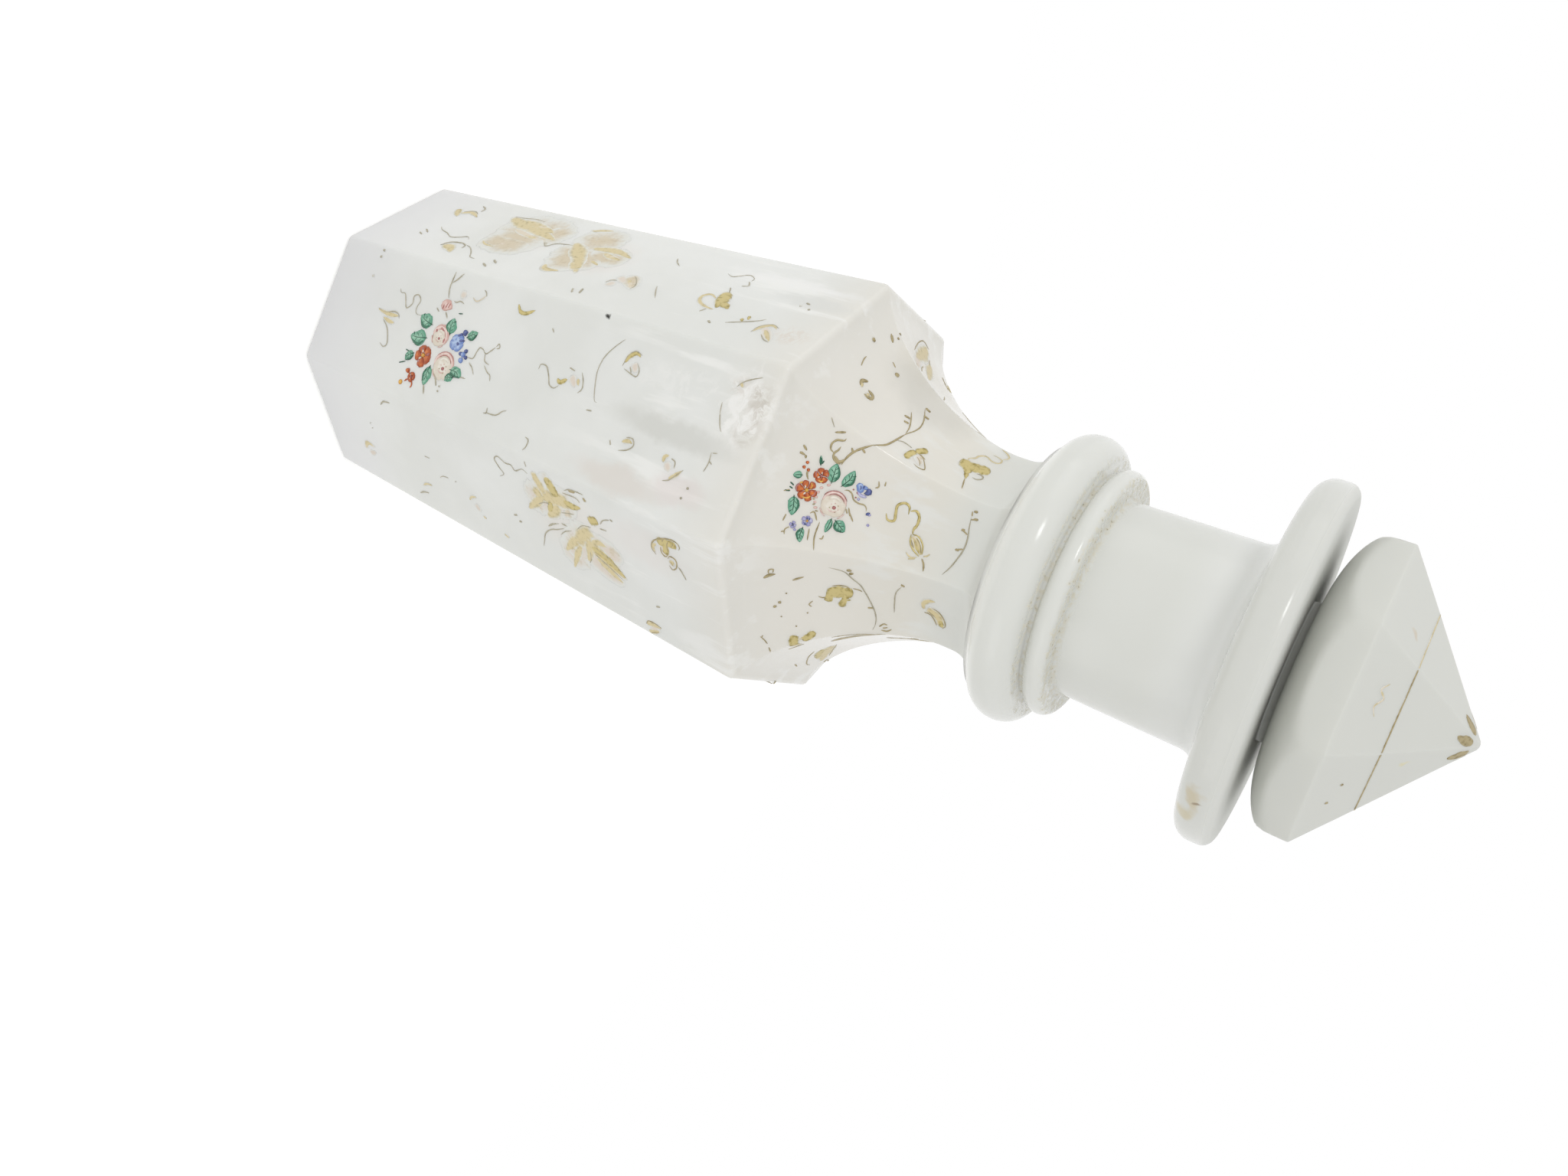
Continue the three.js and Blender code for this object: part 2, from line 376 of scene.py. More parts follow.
@dataclass(frozen=True)
class CutOpaline(Finish):
    """Opaline glass, blown, cut and polished: bone ash in the melt scatters light inside it.

    The eye gets a milky white with faint clouds and drawn streaks, a soft glow at edges and a clean
    gloss over it that ripples a little, because each flat was ground by hand.
    """

    name: str = "opaline_glass_cut_polished"
    milk: str = "dddeda"
    # Also used as painted light at the top of the neck
    cloud_and_light: str = "e3e4e1"
    warm: str = "e1ddd4"
    # Painted light and shade: a lighter, bluer tone towards the foot, where the table takes light away
    shade: str = "e0e0e2"
    streak: str = "ededea"
    hollow: str = "dedbd2"
    thick: str = "dcddd8"
    lip: str = "d4d5d0"
    crease_light: str = "ebece8"
    # Painted light: a lighter band under the ring, against the shade the ring casts there
    residue: str = "d6d1be"
    grain: str = "8f7f55"
    roughness: float = 0.17
    dull: float = 0.45
    ior: float = 1.5
    glow: float = 0.3
    glow_depth: float = 2.5
    cloud_size: float = 26.0
    streak_width: float = 5.0
    streak_draw: float = 0.13
    ragged: float = 4.0
    ripple_pitch: float = 14.0
    stains_and_shade: tuple[StainAndShade, ...] = ()

    def surface(self, tree: Tree) -> Socket:
        """Builds the milky colour with its painted light, the patches of staining and painted shade, the dirt
        in the grooves and the hand-ground ripple.

        Args:
            tree: The material's node tree.

        Returns:
            The shader's output.
        """
        place = add_node(tree, "TexCoord")["Object"]
        height = add_node(tree, "SeparateXYZ", {0: place})["Z"]
        torn = add_node(tree, "TexNoise", {"Vector": place, "Scale": 1 / (3.5 * MM), "Detail": 4.0})["Color"]
        wander = add_node(
            tree, "VectorMath", {0: torn, 1: (self.ragged * MM,) * 3, 2: place}, operation="MULTIPLY_ADD",
        )[0]
        colour = self.milky(tree, place, height)
        for stain_and_shade in self.stains_and_shade:
            colour = self.stained_and_shaded(tree, wander, stain_and_shade, colour)
        colour, dirt = self.grimed(tree, place, height, colour)
        dull = add_node(
            tree, "Math", {0: dirt, 1: where(tree, Limit(height, 0.2145, 0.2162))}, operation="MAXIMUM",
        )[0]
        rough = add_node(
            tree, "Math", {0: dull, 1: self.dull, 2: self.roughness}, operation="MULTIPLY_ADD",
        )[0]
        crust = add_node(tree, "Bump", {"Strength": 0.12, "Distance": 0.0003, "Height": dirt})[0]
        # The wheel leaves waves that only show in the gloss
        ripple = add_node(
            tree, "TexNoise", {"Vector": place, "Scale": 1 / (self.ripple_pitch * MM), "Detail": 1.0},
        )["Fac"]
        waves = add_node(
            tree, "Bump", {"Strength": 0.35, "Distance": 0.0006, "Height": ripple, "Normal": crust},
        )[0]
        return add_node(
            tree, "BsdfPrincipled",
            {
                "Base Color": colour, "Roughness": rough, "IOR": self.ior, "Normal": waves,
                "Subsurface Weight": self.glow, "Subsurface Radius": (1.0, 0.96, 0.9),
                "Subsurface Scale": self.glow_depth * MM,
            },
        )[0]

    def milky(self, tree: Tree, place: Socket, height: Socket) -> Socket:
        """Mixes the glass's own tones, clouds and streaks and what its thickness does up the piece, and
        painted light in three bands: at the foot, under the ring and at the top of the neck.

        Args:
            tree: The material's node tree.
            place: Position on the glass.
            height: Its height.

        Returns:
            The colour.
        """
        clouds = add_node(
            tree, "TexNoise",
            {"Vector": place, "Scale": 1 / (self.cloud_size * MM), "Detail": 3.0, "Roughness": 0.55},
        )["Fac"]
        drawn = add_node(
            tree, "Mapping", {"Vector": place, "Scale": (1, 1, self.streak_draw)}, vector_type="POINT",
        )[0]
        streaks = add_node(
            tree, "TexNoise",
            {"Vector": drawn, "Scale": 1 / (self.streak_width * MM), "Detail": 4.0, "Roughness": 0.6},
        )["Fac"]
        # Heights are in metres here, as the shader measures them
        above_shoulder = Limit(height, 0.136, 0.15)
        colour = linear(self.milk)
        for tone, *limits in (
            (self.cloud_and_light, Limit(clouds, 0.35, 0.65)),
            # Painted light: lighter and bluer towards the foot
            (self.shade, Limit(height, 0.030, 0.002, 0.75)),
            (self.warm, Limit(height, 0.108, 0.135, 0.85), Limit(height, 0.168, 0.152)),
            (
                self.streak,
                Limit(streaks, 0.52, 0.66, 0.75), Limit(height, 0.072, 0.108), Limit(height, 0.132, 0.122),
            ),
            (self.hollow, Limit(height, 0.137, 0.149)),
            (self.cloud_and_light, Limit(streaks, 0.5, 0.64, 0.6), above_shoulder),
            (self.thick, Limit(height, 0.149, 0.163)),
            # Painted light under the ring, where it meets the flare
            (self.crease_light, Limit(height, 0.1655, 0.1675)),
            (self.thick, Limit(height, 0.1685, 0.1705)),
            # Painted light: the top of the neck is lighter below the lip, where the lip shades it
            (self.cloud_and_light, Limit(height, 0.1950, 0.2050)),
            (self.lip, Limit(height, 0.2090, 0.2106)),
        ):
            colour = toned(tree, colour, tone, *limits)
        return colour

    def stained_and_shaded(self, tree: Tree, place: Socket, stain_and_shade: StainAndShade, colour: Socket) -> Socket:
        """Lays a patch over the colour: most are staining, two are painted shade.

        Args:
            tree: The material's node tree.
            place: Position on the glass, already made ragged.
            stain_and_shade: The patch.
            colour: The colour so far.

        Returns:
            The colour with the stain.
        """
        outward, sideways = facet_axes(stain_and_shade.facet)
        centre = outward * stain_and_shade.outward + sideways * stain_and_shade.across + Vector((0, 0, stain_and_shade.height))
        near = add_node(
            tree, "Mapping",
            {
                "Vector": place, "Location": (centre + Vector((self.ragged,) * 3) / 2) * MM,
                "Rotation": (0, 0, math.radians(stain_and_shade.facet)), "Scale": Vector(stain_and_shade.size) * MM,
            },
            vector_type="TEXTURE",
        )[0]
        away = add_node(tree, "VectorMath", {0: near}, operation="LENGTH")["Value"]
        limits = [Limit(away, 1.0, 0.35, stain_and_shade.strength)]
        if stain_and_shade.mottle:
            flecks = add_node(
                tree, "TexNoise",
                {
                    "Vector": place, "Scale": 1 / (stain_and_shade.mottle * MM), "Detail": 3.0, "Roughness": 0.65,
                    "Distortion": 1.4,
                },
            )["Fac"]
            limits.append(Limit(flecks, 0.42, 0.6))
        return toned(tree, colour, stain_and_shade.colour, *limits)

    def grimed(self, tree: Tree, place: Socket, height: Socket, colour: Socket) -> tuple[Socket, Socket]:
        """Lays yellow-brown dirt in the two creases of the collar, dotted along its edges.

        Args:
            tree: The material's node tree.
            place: Position on the glass.
            height: Its height.
            colour: The colour so far.

        Returns:
            The colour with the dirt, and how thick the dirt is.
        """
        crumbs = add_node(
            tree, "TexNoise", {"Vector": place, "Scale": 1 / (1.1 * MM), "Detail": 5.0, "Roughness": 0.65},
        )["Fac"]
        uneven = add_node(tree, "Math", {0: crumbs, 1: 0.0028, 2: height}, operation="MULTIPLY_ADD")[0]
        creases = []
        for low, high in ((0.1781, 0.1791), (0.1827, 0.1835)):
            middle, reach = (low + high) / 2, (high - low) / 2 + 0.0004
            off = add_node(tree, "Math", {0: uneven, 1: middle}, operation="SUBTRACT")[0]
            distance = add_node(tree, "Math", {0: off}, operation="ABSOLUTE")[0]
            creases.append(where(tree, Limit(distance, reach, reach * 0.25, 0.8)))
        dirt = add_node(tree, "Math", {0: creases[0], 1: creases[1]}, operation="MAXIMUM")[0]
        dots = add_node(tree, "TexVoronoi", {"Vector": place, "Scale": 1 / (0.9 * MM)})["Distance"]
        colour = toned(tree, colour, self.residue, dirt, Limit(crumbs, 0.40, 0.62))
        grains = (Limit(dots, 0.34, 0.14, 0.9), Limit(crumbs, 0.50, 0.60))
        return toned(tree, colour, self.grain, *grains, dirt), dirt


@dataclass(frozen=True)
class GroundOpaline(Finish):
    """Opaline glass ground with sand and water, as on the plug and in its socket.

    The fine pits scatter the gloss, so it looks like frost with faint rings from the turning.
    """

    name: str = "opaline_glass_ground"
    milk: str = "dfe0db"
    frost: str = "eaeae6"
    roughness: float = 0.62
    ior: float = 1.5
    glow: float = 0.3
    glow_depth: float = 4.0
    pit_size: float = 0.8
    ring_pitch: float = 0.5

    def surface(self, tree: Tree) -> Socket:
        """Builds the frosted colour and the grinding rings.

        Args:
            tree: The material's node tree.

        Returns:
            The shader's output.
        """
        place = add_node(tree, "TexCoord")["Object"]
        pits = add_node(
            tree, "TexNoise", {"Vector": place, "Scale": 1 / (self.pit_size * MM), "Detail": 4.0},
        )["Fac"]
        frosted = add_node(
            tree, "Mix", {0: pits, 6: linear(self.milk), 7: linear(self.frost)}, data_type="RGBA",
        )[2]
        rings = add_node(
            tree, "TexWave",
            {"Vector": place, "Scale": 0.314 / (self.ring_pitch * MM), "Distortion": 1.5},
            bands_direction="Z",
        )["Fac"]
        bump = add_node(tree, "Bump", {"Strength": 0.25, "Distance": 5e-05, "Height": rings})[0]
        return add_node(
            tree, "BsdfPrincipled",
            {
                "Base Color": frosted, "Roughness": self.roughness, "IOR": self.ior, "Normal": bump,
                "Subsurface Weight": self.glow, "Subsurface Radius": (1.0, 0.96, 0.9),
                "Subsurface Scale": self.glow_depth * MM,
            },
        )[0]


@dataclass(frozen=True)
class FiredEnamel(Finish):
    """Glass enamel, brushed on and fired: coloured glass powder that melted into low glossy strokes.

    The paint is thinner and paler in the middle of a stroke and darker where it pooled at the edge, with
    brush marks about 0.8 mm apart, coarser than the real ones so that they show.
    """

    name: str
    pale: str
    deep: str
    pooled: float = 0.55
    thin: float = 0.42
    mark_pitch: float = 0.8
    roughness: float = 0.24
    ior: float = 1.52

    def surface(self, tree: Tree) -> Socket:
        """Builds the pooled colour and the brush marks.

        Args:
            tree: The material's node tree.

        Returns:
            The shader's output.
        """
        place = add_node(tree, "TexCoord")["Object"]
        edge = add_node(tree, "Attribute", attribute_name="edge")["Fac"]
        marks = add_node(
            tree, "TexNoise", {"Vector": place, "Scale": 1 / (self.mark_pitch * MM), "Detail": 3.0},
        )["Fac"]
        depth = add_node(tree, "Math", {0: edge, 1: self.pooled, 2: marks}, operation="MULTIPLY_ADD")[0]
        colour = toned(tree, linear(self.pale), self.deep, Limit(depth, self.thin, self.thin + self.pooled))
        bump = add_node(tree, "Bump", {"Strength": 0.3, "Distance": 6e-05, "Height": marks})[0]
        return add_node(
            tree, "BsdfPrincipled",
            {"Base Color": colour, "Roughness": self.roughness, "IOR": self.ior, "Normal": bump},
        )[0]


@dataclass(frozen=True)
class WornGilding(Finish):
    """Gold brushed on in oil and fired, then rubbed by a century of hands.

    Whole gold is a soft satin; where it is thin the brown ground shows, and where it is gone only a
    pinkish ghost is left, which fades into the milk of the glass at a ragged border. The patches are
    0.5 to 3 mm across.
    """

    name: str
    gold: str
    brown: str
    ghost: str
    wear: float
    raggedness: float
    roughness: float
    metal: float
    glass: str = "dedfda"
    patch_size: float = 2.4
    thin_size: float = 0.9

    def surface(self, tree: Tree) -> Socket:
        """Builds the gold, its thin places and its ghost.

        Args:
            tree: The material's node tree.

        Returns:
            The shader's output.
        """
        place = add_node(tree, "TexCoord")["Object"]
        edge = add_node(tree, "Attribute", attribute_name="edge")["Fac"]
        worn = add_node(tree, "Attribute", attribute_name="wear")["Fac"]
        patches = add_node(
            tree, "TexNoise",
            {"Vector": place, "Scale": 1 / (self.patch_size * MM), "Detail": 5.0, "Roughness": 0.68},
        )["Fac"]
        thin = add_node(
            tree, "TexNoise", {"Vector": place, "Scale": 1 / (self.thin_size * MM), "Detail": 3.0},
        )["Fac"]
        rubbed, pooled, border = (
            add_node(tree, "Math", dict(enumerate(sums)), operation="MULTIPLY_ADD")[0]
            for sums in ((worn, 0.5, patches), (edge, 0.28, thin), (patches, 0.9, edge))
        )
        bare = where(tree, Limit(rubbed, 0.86 - self.wear, 0.98 - self.wear))
        lost = where(tree, Limit(border, 1.35 - 0.7 * self.raggedness, 1.55 - 0.15 * self.raggedness))
        colour = toned(tree, linear(self.gold), self.brown, Limit(pooled, 0.55, 0.85))
        colour = toned(tree, colour, self.ghost, bare)
        colour = toned(tree, colour, self.glass, lost)
        gone = add_node(tree, "Math", {0: bare, 1: lost}, operation="MAXIMUM")[0]
        metal = add_node(tree, "MapRange", {"Value": gone, "To Min": self.metal, "To Max": 0.0})[0]
        bump = add_node(tree, "Bump", {"Strength": 0.35, "Distance": 5e-05, "Height": thin})[0]
        return add_node(
            tree, "BsdfPrincipled",
            {"Base Color": colour, "Metallic": metal, "Roughness": self.roughness, "Normal": bump},
        )[0]


class Paint(Enum):
    """The colours on the painter's tile, each with its finish."""

    LEAF = FiredEnamel("leaf_green_enamel_fired", "9cc9b0", "5b9a7e")
    DEEP_LEAF = FiredEnamel("dark_leaf_green_enamel_fired", "35775a", "1c5540")
    VEIN = FiredEnamel("vein_green_enamel_fired", "235a41", "1b4a38")
    PINK = FiredEnamel("rose_pink_enamel_fired", "e8d3cb", "cfa69c")
    CARMINE = FiredEnamel("carmine_enamel_fired", "bf8580", "9a5a56")
    ORANGE = FiredEnamel("orange_red_enamel_fired", "db7a33", "a2461a")
    BLUE = FiredEnamel("cornflower_blue_enamel_fired", "b1c5e3", "6f88c2")
    NAVY = FiredEnamel("dark_blue_enamel_fired", "5c69a2", "3f4a7c")
    VIOLET = FiredEnamel("violet_enamel_fired", "c2c1da", "918fbc")
    CREAM = FiredEnamel("cream_enamel_fired", "e7e2d7", "d9cfbf")
    YELLOW = FiredEnamel("yellow_enamel_fired", "e8bd5c", "c98f35")
    GOLD = WornGilding("gilding_fired_whole", "c6b780", "97884c", "dccfbc", 0.04, 0.4, 0.4, 0.6)
    WORN = WornGilding("gilding_fired_worn", "d0c299", "b5a77c", "dacfba", 0.12, 0.75, 0.4, 0.5)
    FAINT = WornGilding("gilding_fired_rubbed_away", "d0c4ac", "c1b398", "dacfc2", 0.22, 1.0, 0.45, 0.2)
    PALE = WornGilding("gold_line_fired_greyed", "b0a993", "96907a", "cecabd", 0.1, 0.45, 0.45, 0.2)
    UMBER = WornGilding("gold_line_fired_browned", "ac9e78", "887a52", "cdc6b6", 0.07, 0.3, 0.45, 0.3)


class Tip(Enum):
    """How a stroke's width changes along it."""

    BRUSH = "even, with round ends"
    TAPER = "thin at both ends"
    LEAF = "widest before the middle, pointed at the end"
    PETAL = "narrow at the start and round at the end"
    DISC = "round"

    def width(self, t: float, slimness: float) -> float:
        """Gives the share of the full width.

        Args:
            t: Place along the stroke from 0 to 1.
            slimness: Length of the stroke over its full width.

        Returns:
            The share of the full width there.
        """
        if self is Tip.DISC:
            return math.sqrt(max(1 - (2 * t - 1) ** 2, 0))
        if self is Tip.LEAF:
            return math.sin(math.pi * t ** 0.8) ** 0.8
        if self is Tip.PETAL:
            return math.sin(math.pi * t ** 1.7) ** 0.6
        if self is Tip.TAPER:
            return min(1.0, math.sin(math.pi * t) ** 0.6 * 1.15)
        ends = min(1.0, min(t, 1 - t) * slimness * 2)
        return math.sqrt(max(1 - (1 - ends) ** 2, 0))


class Spot(NamedTuple):
    """A place on the glass: its facet's angle and its distances along and across the facet."""

    facet: float
    along: float
    across: float

    def turned(self, angle: float, drawing: Sequence[Point]) -> list[Point]:
        """Moves a small drawing here.

        Args:
            angle: Turn in degrees; 0 leaves the drawing's length along the facet.
            drawing: Its points as lengths along and across.

        Returns:
            The points as distances along and across the facet.
        """
        cos, sin = math.cos(math.radians(angle)), math.sin(math.radians(angle))
        return [(self.along + x * cos - y * sin, self.across + x * sin + y * cos) for x, y in drawing]

    def beside(self, angle: float, point: Point) -> "Spot":
        """Finds the place of a single point of such a drawing."""
        return Spot(self.facet, *self.turned(angle, (point,))[0])


class PaintedSurface(ABC):
    """A cut glass surface that paint lies on, unrolled facet by facet."""

    @abstractmethod
    def along(self, mark: float) -> float:
        """Turns the mark that a motif is placed by into the distance along the facet."""

    @abstractmethod
    def profile(self, along: float) -> tuple[float, float, float, float]:
        """Gives flat distance, height and the two parts of the outward direction at a distance along."""

    def spot(self, facet: float, mark: float, across: float) -> Spot:
        """Finds the place at a mark on a facet."""
        return Spot(facet, self.along(mark), across)

    def lifted(self, spot: Spot, lift: float) -> Vector:
        """Finds a point over the glass. Past a ridge it goes on over the next facet.

        Args:
            spot: The place on the glass.
            lift: Height above it.

        Returns:
            The point in millimetres.
        """
        ridge_width = 0.6
        flat, height, out, rise = self.profile(spot.along)
        half = flat * math.tan(HALF_SIDE)
        facet, across = spot.facet, spot.across
        while across > half:
            across -= 2 * half
            facet += SIDE_ANGLE
        while across < -half:
            across += 2 * half
            facet -= SIDE_ANGLE
        outward, sideways = facet_axes(facet)
        foot = outward * flat + sideways * across + Vector((0, 0, height))
        near_ridge = max(0.0, 1 - (half - abs(across)) / ridge_width)
        lean, _ = facet_axes(facet + math.copysign(SIDE_ANGLE / 2 * near_ridge, across))
        return foot + (lean * out + Vector((0, 0, rise))).normalized() * lift


@dataclass
class PaintLayer:
    """Everything that one brush put on one piece in one colour.

    Each point has its place, how near it is to its stroke's edge and how much it is rubbed away.
    """

    name: str
    paint: Paint
    points: list[tuple[Vector, float, float]] = field(default_factory=list)
    faces: list[tuple[int, ...]] = field(default_factory=list)

    def build(self, body: str) -> None:
        """Makes the layer's object and lets it ride on its glass.

        Args:
            body: Name of the body that carries it.
        """
        shape = bmesh.new()
        edge, wear = (shape.verts.layers.float.new(label) for label in ("edge", "wear"))
        vertices = []
        for place, near_edge, rubbed in self.points:
            vertex = shape.verts.new(place * MM)
            vertex[edge], vertex[wear] = near_edge, rubbed
            vertices.append(vertex)
        for corners in self.faces:
            shape.faces.new([vertices[corner] for corner in corners])
        piece = finish_mesh(self.name, shape, [self.paint.value])
        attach(piece, body)
        "enamel" if isinstance(self.paint.value, FiredEnamel) else "gilding"


@dataclass(frozen=True)
class Brush:
    """A way to lay a stroke: its paint, its full width and how that changes, its crest and its wear."""

    paint: Paint
    width: float
    tip: Tip = Tip.TAPER
    height: float = 0.1
    wear: float = 0.0


@dataclass
class Painter:
    """A hand with fine brushes: it lays strokes on a surface, each a low closed ridge of paint."""

    surface: PaintedSurface
    title: str
    seed: int
    sink: float = 0.1
    fine: float = 1.1
    broad: float = 6.0
    least_reach: float = 0.02
    layers: dict[Paint, PaintLayer] = field(default_factory=dict)
    chance: random.Random = field(init=False)

    def __post_init__(self) -> None:
        """Seeds the unevenness of the hand."""
        self.chance = random.Random(self.seed)

    def finish(self, body: str) -> None:
        """Makes an object of each layer and lets it ride on the named body."""
        for layer in self.layers.values():
            layer.build(body)

    def lay(self, facet: float, sheet: str) -> None:
        """Lays the strokes of a work sheet.

        A row of the sheet ends with a semicolon. It names a paint and a width, and a tip, a height and a wear
        where they aren't the usual ones. After a colon come its paths, split by slashes. Their points, split
        by commas, are a mark along the facet and a distance across it. A single point is a dot.

        Args:
            facet: Angle of the facet.
            sheet: The rows.
        """
        usual = ("TAPER", ".1", ".15")
        for row in sheet.split(";")[:-1]:
            kind, paths = row.split(":")
            paint, width, *rest = kind.split()
            tip, height, wear = (*rest, *usual[len(rest):])
            brush = Brush(Paint[paint], float(width), Tip[tip], float(height), float(wear))
            for written in paths.split("/"):
                points = [point.split() for point in written.split(",")]
                path = [(self.surface.along(float(mark)), float(across)) for mark, across in points]
                if len(path) == 1:
                    self.dab(brush.paint, Spot(facet, *path[0]), brush.width, brush.height + 0.08, brush.wear)
                else:
                    self.stroke(brush, facet, path)

    def section(self, width: float, height: float) -> list[Point]:
        """Draws what a cut across a stroke shows: a low crest whose feet sink into the glass.

        Args:
            width: Full width of the stroke; a broad one gets more points.
            height: Height of its crest.

        Returns:
            Points as a share of the half width and a height.
        """
        shares = (0.0, 0.72) if width < self.fine else (0.0, 0.3, 0.58, 0.84)
        if width >= self.broad:
            shares += (0.97,)
        right = [(share, height * (1 - share ** 2 * 0.72)) for share in shares]
        left = [(-share, lift) for share, lift in right[:0:-1]]
        return [(-1.0, -self.sink), *left, *right, (1.0, -self.sink)]

    def stroke(self, brush: Brush, facet: float, path: Sequence[Point]) -> None:
        """Lays one stroke.

        Args:
            brush: How it is laid.
            facet: Angle of the facet that it starts on.
            path: Points that it passes, each as a distance along and a distance across.
        """
        name = f"{self.title}_{brush.paint.name.lower()}"
        layer = self.layers.setdefault(brush.paint, PaintLayer(name, brush.paint))
        line = self.smoothed([Vector(point) for point in path], brush.width)
        length = sum((b - a).length for a, b in zip(line, line[1:]))
        wobble = [self.chance.uniform(-0.1, 0.1) for _ in line]
        section = self.section(brush.width, brush.height)
        start = len(layer.points)
        travelled = 0.0
        for before, here, after, uneven in zip(line, line[1:], line[2:], wobble[1:]):
            travelled += (here - before).length
            ahead = (after - before).normalized()
            side = Vector((-ahead.y, ahead.x))
            share = brush.tip.width(travelled / length, length / brush.width) * (1 + uneven)
            reach = max(brush.width / 2 * share, self.least_reach)
            thickness = 1 if brush.tip is Tip.DISC else min(1.0, 0.35 + share)
            tail = 1 - min(1.0, min(travelled, length - travelled) / (brush.width * 0.5))
            for offset, lift in section:
                spot = Spot(facet, *(here + side * (offset * reach)))
                place = self.surface.lifted(spot, lift * thickness if lift > 0 else lift)
                layer.points.append((place, max(abs(offset), tail), brush.wear))
        first = len(layer.points)
        rings = [range(at, at + len(section)) for at in range(start, first, len(section))]
        for end in (line[0], line[-1]):
            place = self.surface.lifted(Spot(facet, *end), -self.sink / 2)
            layer.points.append((place, 1.0, brush.wear))
        for low, high in zip(rings, rings[1:]):
            layer.faces += [(a, d, c, b) for a, b, c, d in ring_faces(low, high)]
        for near, near_after, far_after, far in ring_faces(rings[0], rings[-1]):
            layer.faces += [(first, near, near_after), (first + 1, far_after, far)]

    def smoothed(self, points: Sequence[Vector], width: float) -> list[Vector]:
        """Draws a smooth line through points.

        Args:
            points: The points on the unrolled facet.
            width: Width of the stroke, which sets how fine the line is.

        Returns:
            Points close together along the line.
        """
        spacing = max(0.3, min(0.6, width * 0.35))
        least_spans = 3 if len(points) > 2 else 7
        padded = [points[0] * 2 - points[1], *points, points[-1] * 2 - points[-2]]
        line = []
        for a, b, c, d in zip(padded, padded[1:], padded[2:], padded[3:]):
            spans = max(least_spans, math.ceil((c - b).length / spacing))
            square, cube = a * 2 - b * 5 + c * 4 - d, b * 3 - a - c * 3 + d
            for t in (step / spans for step in range(spans)):
                line.append(0.5 * (b * 2 + (c - a) * t + square * t * t + cube * t ** 3))
        return [*line, points[-1].copy()]

    def drawn(self, brush: Brush, spot: Spot, angle: float, drawing: Sequence[Point]) -> None:
        """Lays a stroke of a small drawing.

        Args:
            brush: How it is laid.
            spot: The place of the drawing.
            angle: The drawing's turn in degrees; 0 leaves its length along the facet.
            drawing: Points of the stroke as lengths along and across.
        """
        self.stroke(brush, spot.facet, spot.turned(angle, drawing))

    def dab(self, paint: Paint, spot: Spot, size: float, height: float = 0.2, wear: float = 0.0) -> None:
        """Sets a round dot of paint.

        Args:
            paint: Its colour.
            spot: Its place.
            size: Its diameter.
            height: Height of its crest.
            wear: How much of it is rubbed away.
        """
        self.drawn(Brush(paint, size, Tip.DISC, height, wear), spot, 0, ((-size / 2, 0), (size / 2, 0)))

    def leaf(self, spot: Spot, angle: float, length: float, width: float) -> None:
        """Paints a green leaf with its veins.

        Args:
            spot: Place of its middle.
            angle: Direction of its tip; 0 points up the facet.
            length: Its length.
            width: Its width.
        """
        half = length / 2
        bend = self.chance.uniform(-0.12, 0.12) * length
        blade = ((-half, 0), (0, bend), (half, 0))
        self.drawn(Brush(Paint.LEAF, width, Tip.LEAF, 0.2), spot, angle, blade)
        side = self.chance.choice((-1, 1)) * width
        shade = ((-half * 0.9, side * 0.14), (-half * 0.1, bend + side * 0.38), (half * 0.9, side * 0.1))
        self.drawn(Brush(Paint.DEEP_LEAF, max(width * 0.24, 0.36), Tip.LEAF, 0.23), spot, angle, shade)
        spine = ((-half * 1.15, 0), (0, bend), (half * 0.7, 0))
        self.drawn(Brush(Paint.VEIN, 0.34, height=0.27), spot, angle, spine)
        if width <= 1.6:
            return
        for start, side in ((-0.36, 1), (-0.3, -1), (-0.12, 1), (-0.05, -1), (0.12, 1)):
            steps = ((0, 0), (0.12, 0.16), (0.19, 0.3))
            vein = [((start + far) * length, bend * 0.8 + side * width * out) for far, out in steps]
            self.drawn(Brush(Paint.VEIN, 0.27, height=0.24), spot, angle, vein)

    def flower(
        self, paint: Paint, spot: Spot, size: float, petals: int, heart: Paint, angle: float,
    ) -> None:
        """Paints an open flower of round petals.

        Args:
            paint: Colour of the petals.
            spot: Place of its heart.
            size: Its diameter.
            petals: Number of petals.
            heart: Colour of the heart.
            angle: Turn of the first petal in degrees.
        """
        petal_brush = Brush(paint, size * 2.35 / petals, Tip.PETAL, 0.22)
        for petal in range(petals):
            turn = angle + 360 * petal / petals + self.chance.uniform(-6, 6)
            reach = size / 2 * self.chance.uniform(0.9, 1.08)
            self.drawn(petal_brush, spot, turn, ((size * 0.05, 0), (reach * 0.6, 0), (reach, 0)))
        light = Brush(Paint.CREAM if size > 2 else heart, size * 0.1, Tip.LEAF, 0.28)
        for turn in (angle + 100, angle + 220):
            self.drawn(light, spot, turn, ((size * 0.1, 0), (size * 0.27, size * 0.05)))
        self.dab(heart, spot, size * 0.2, 0.3)

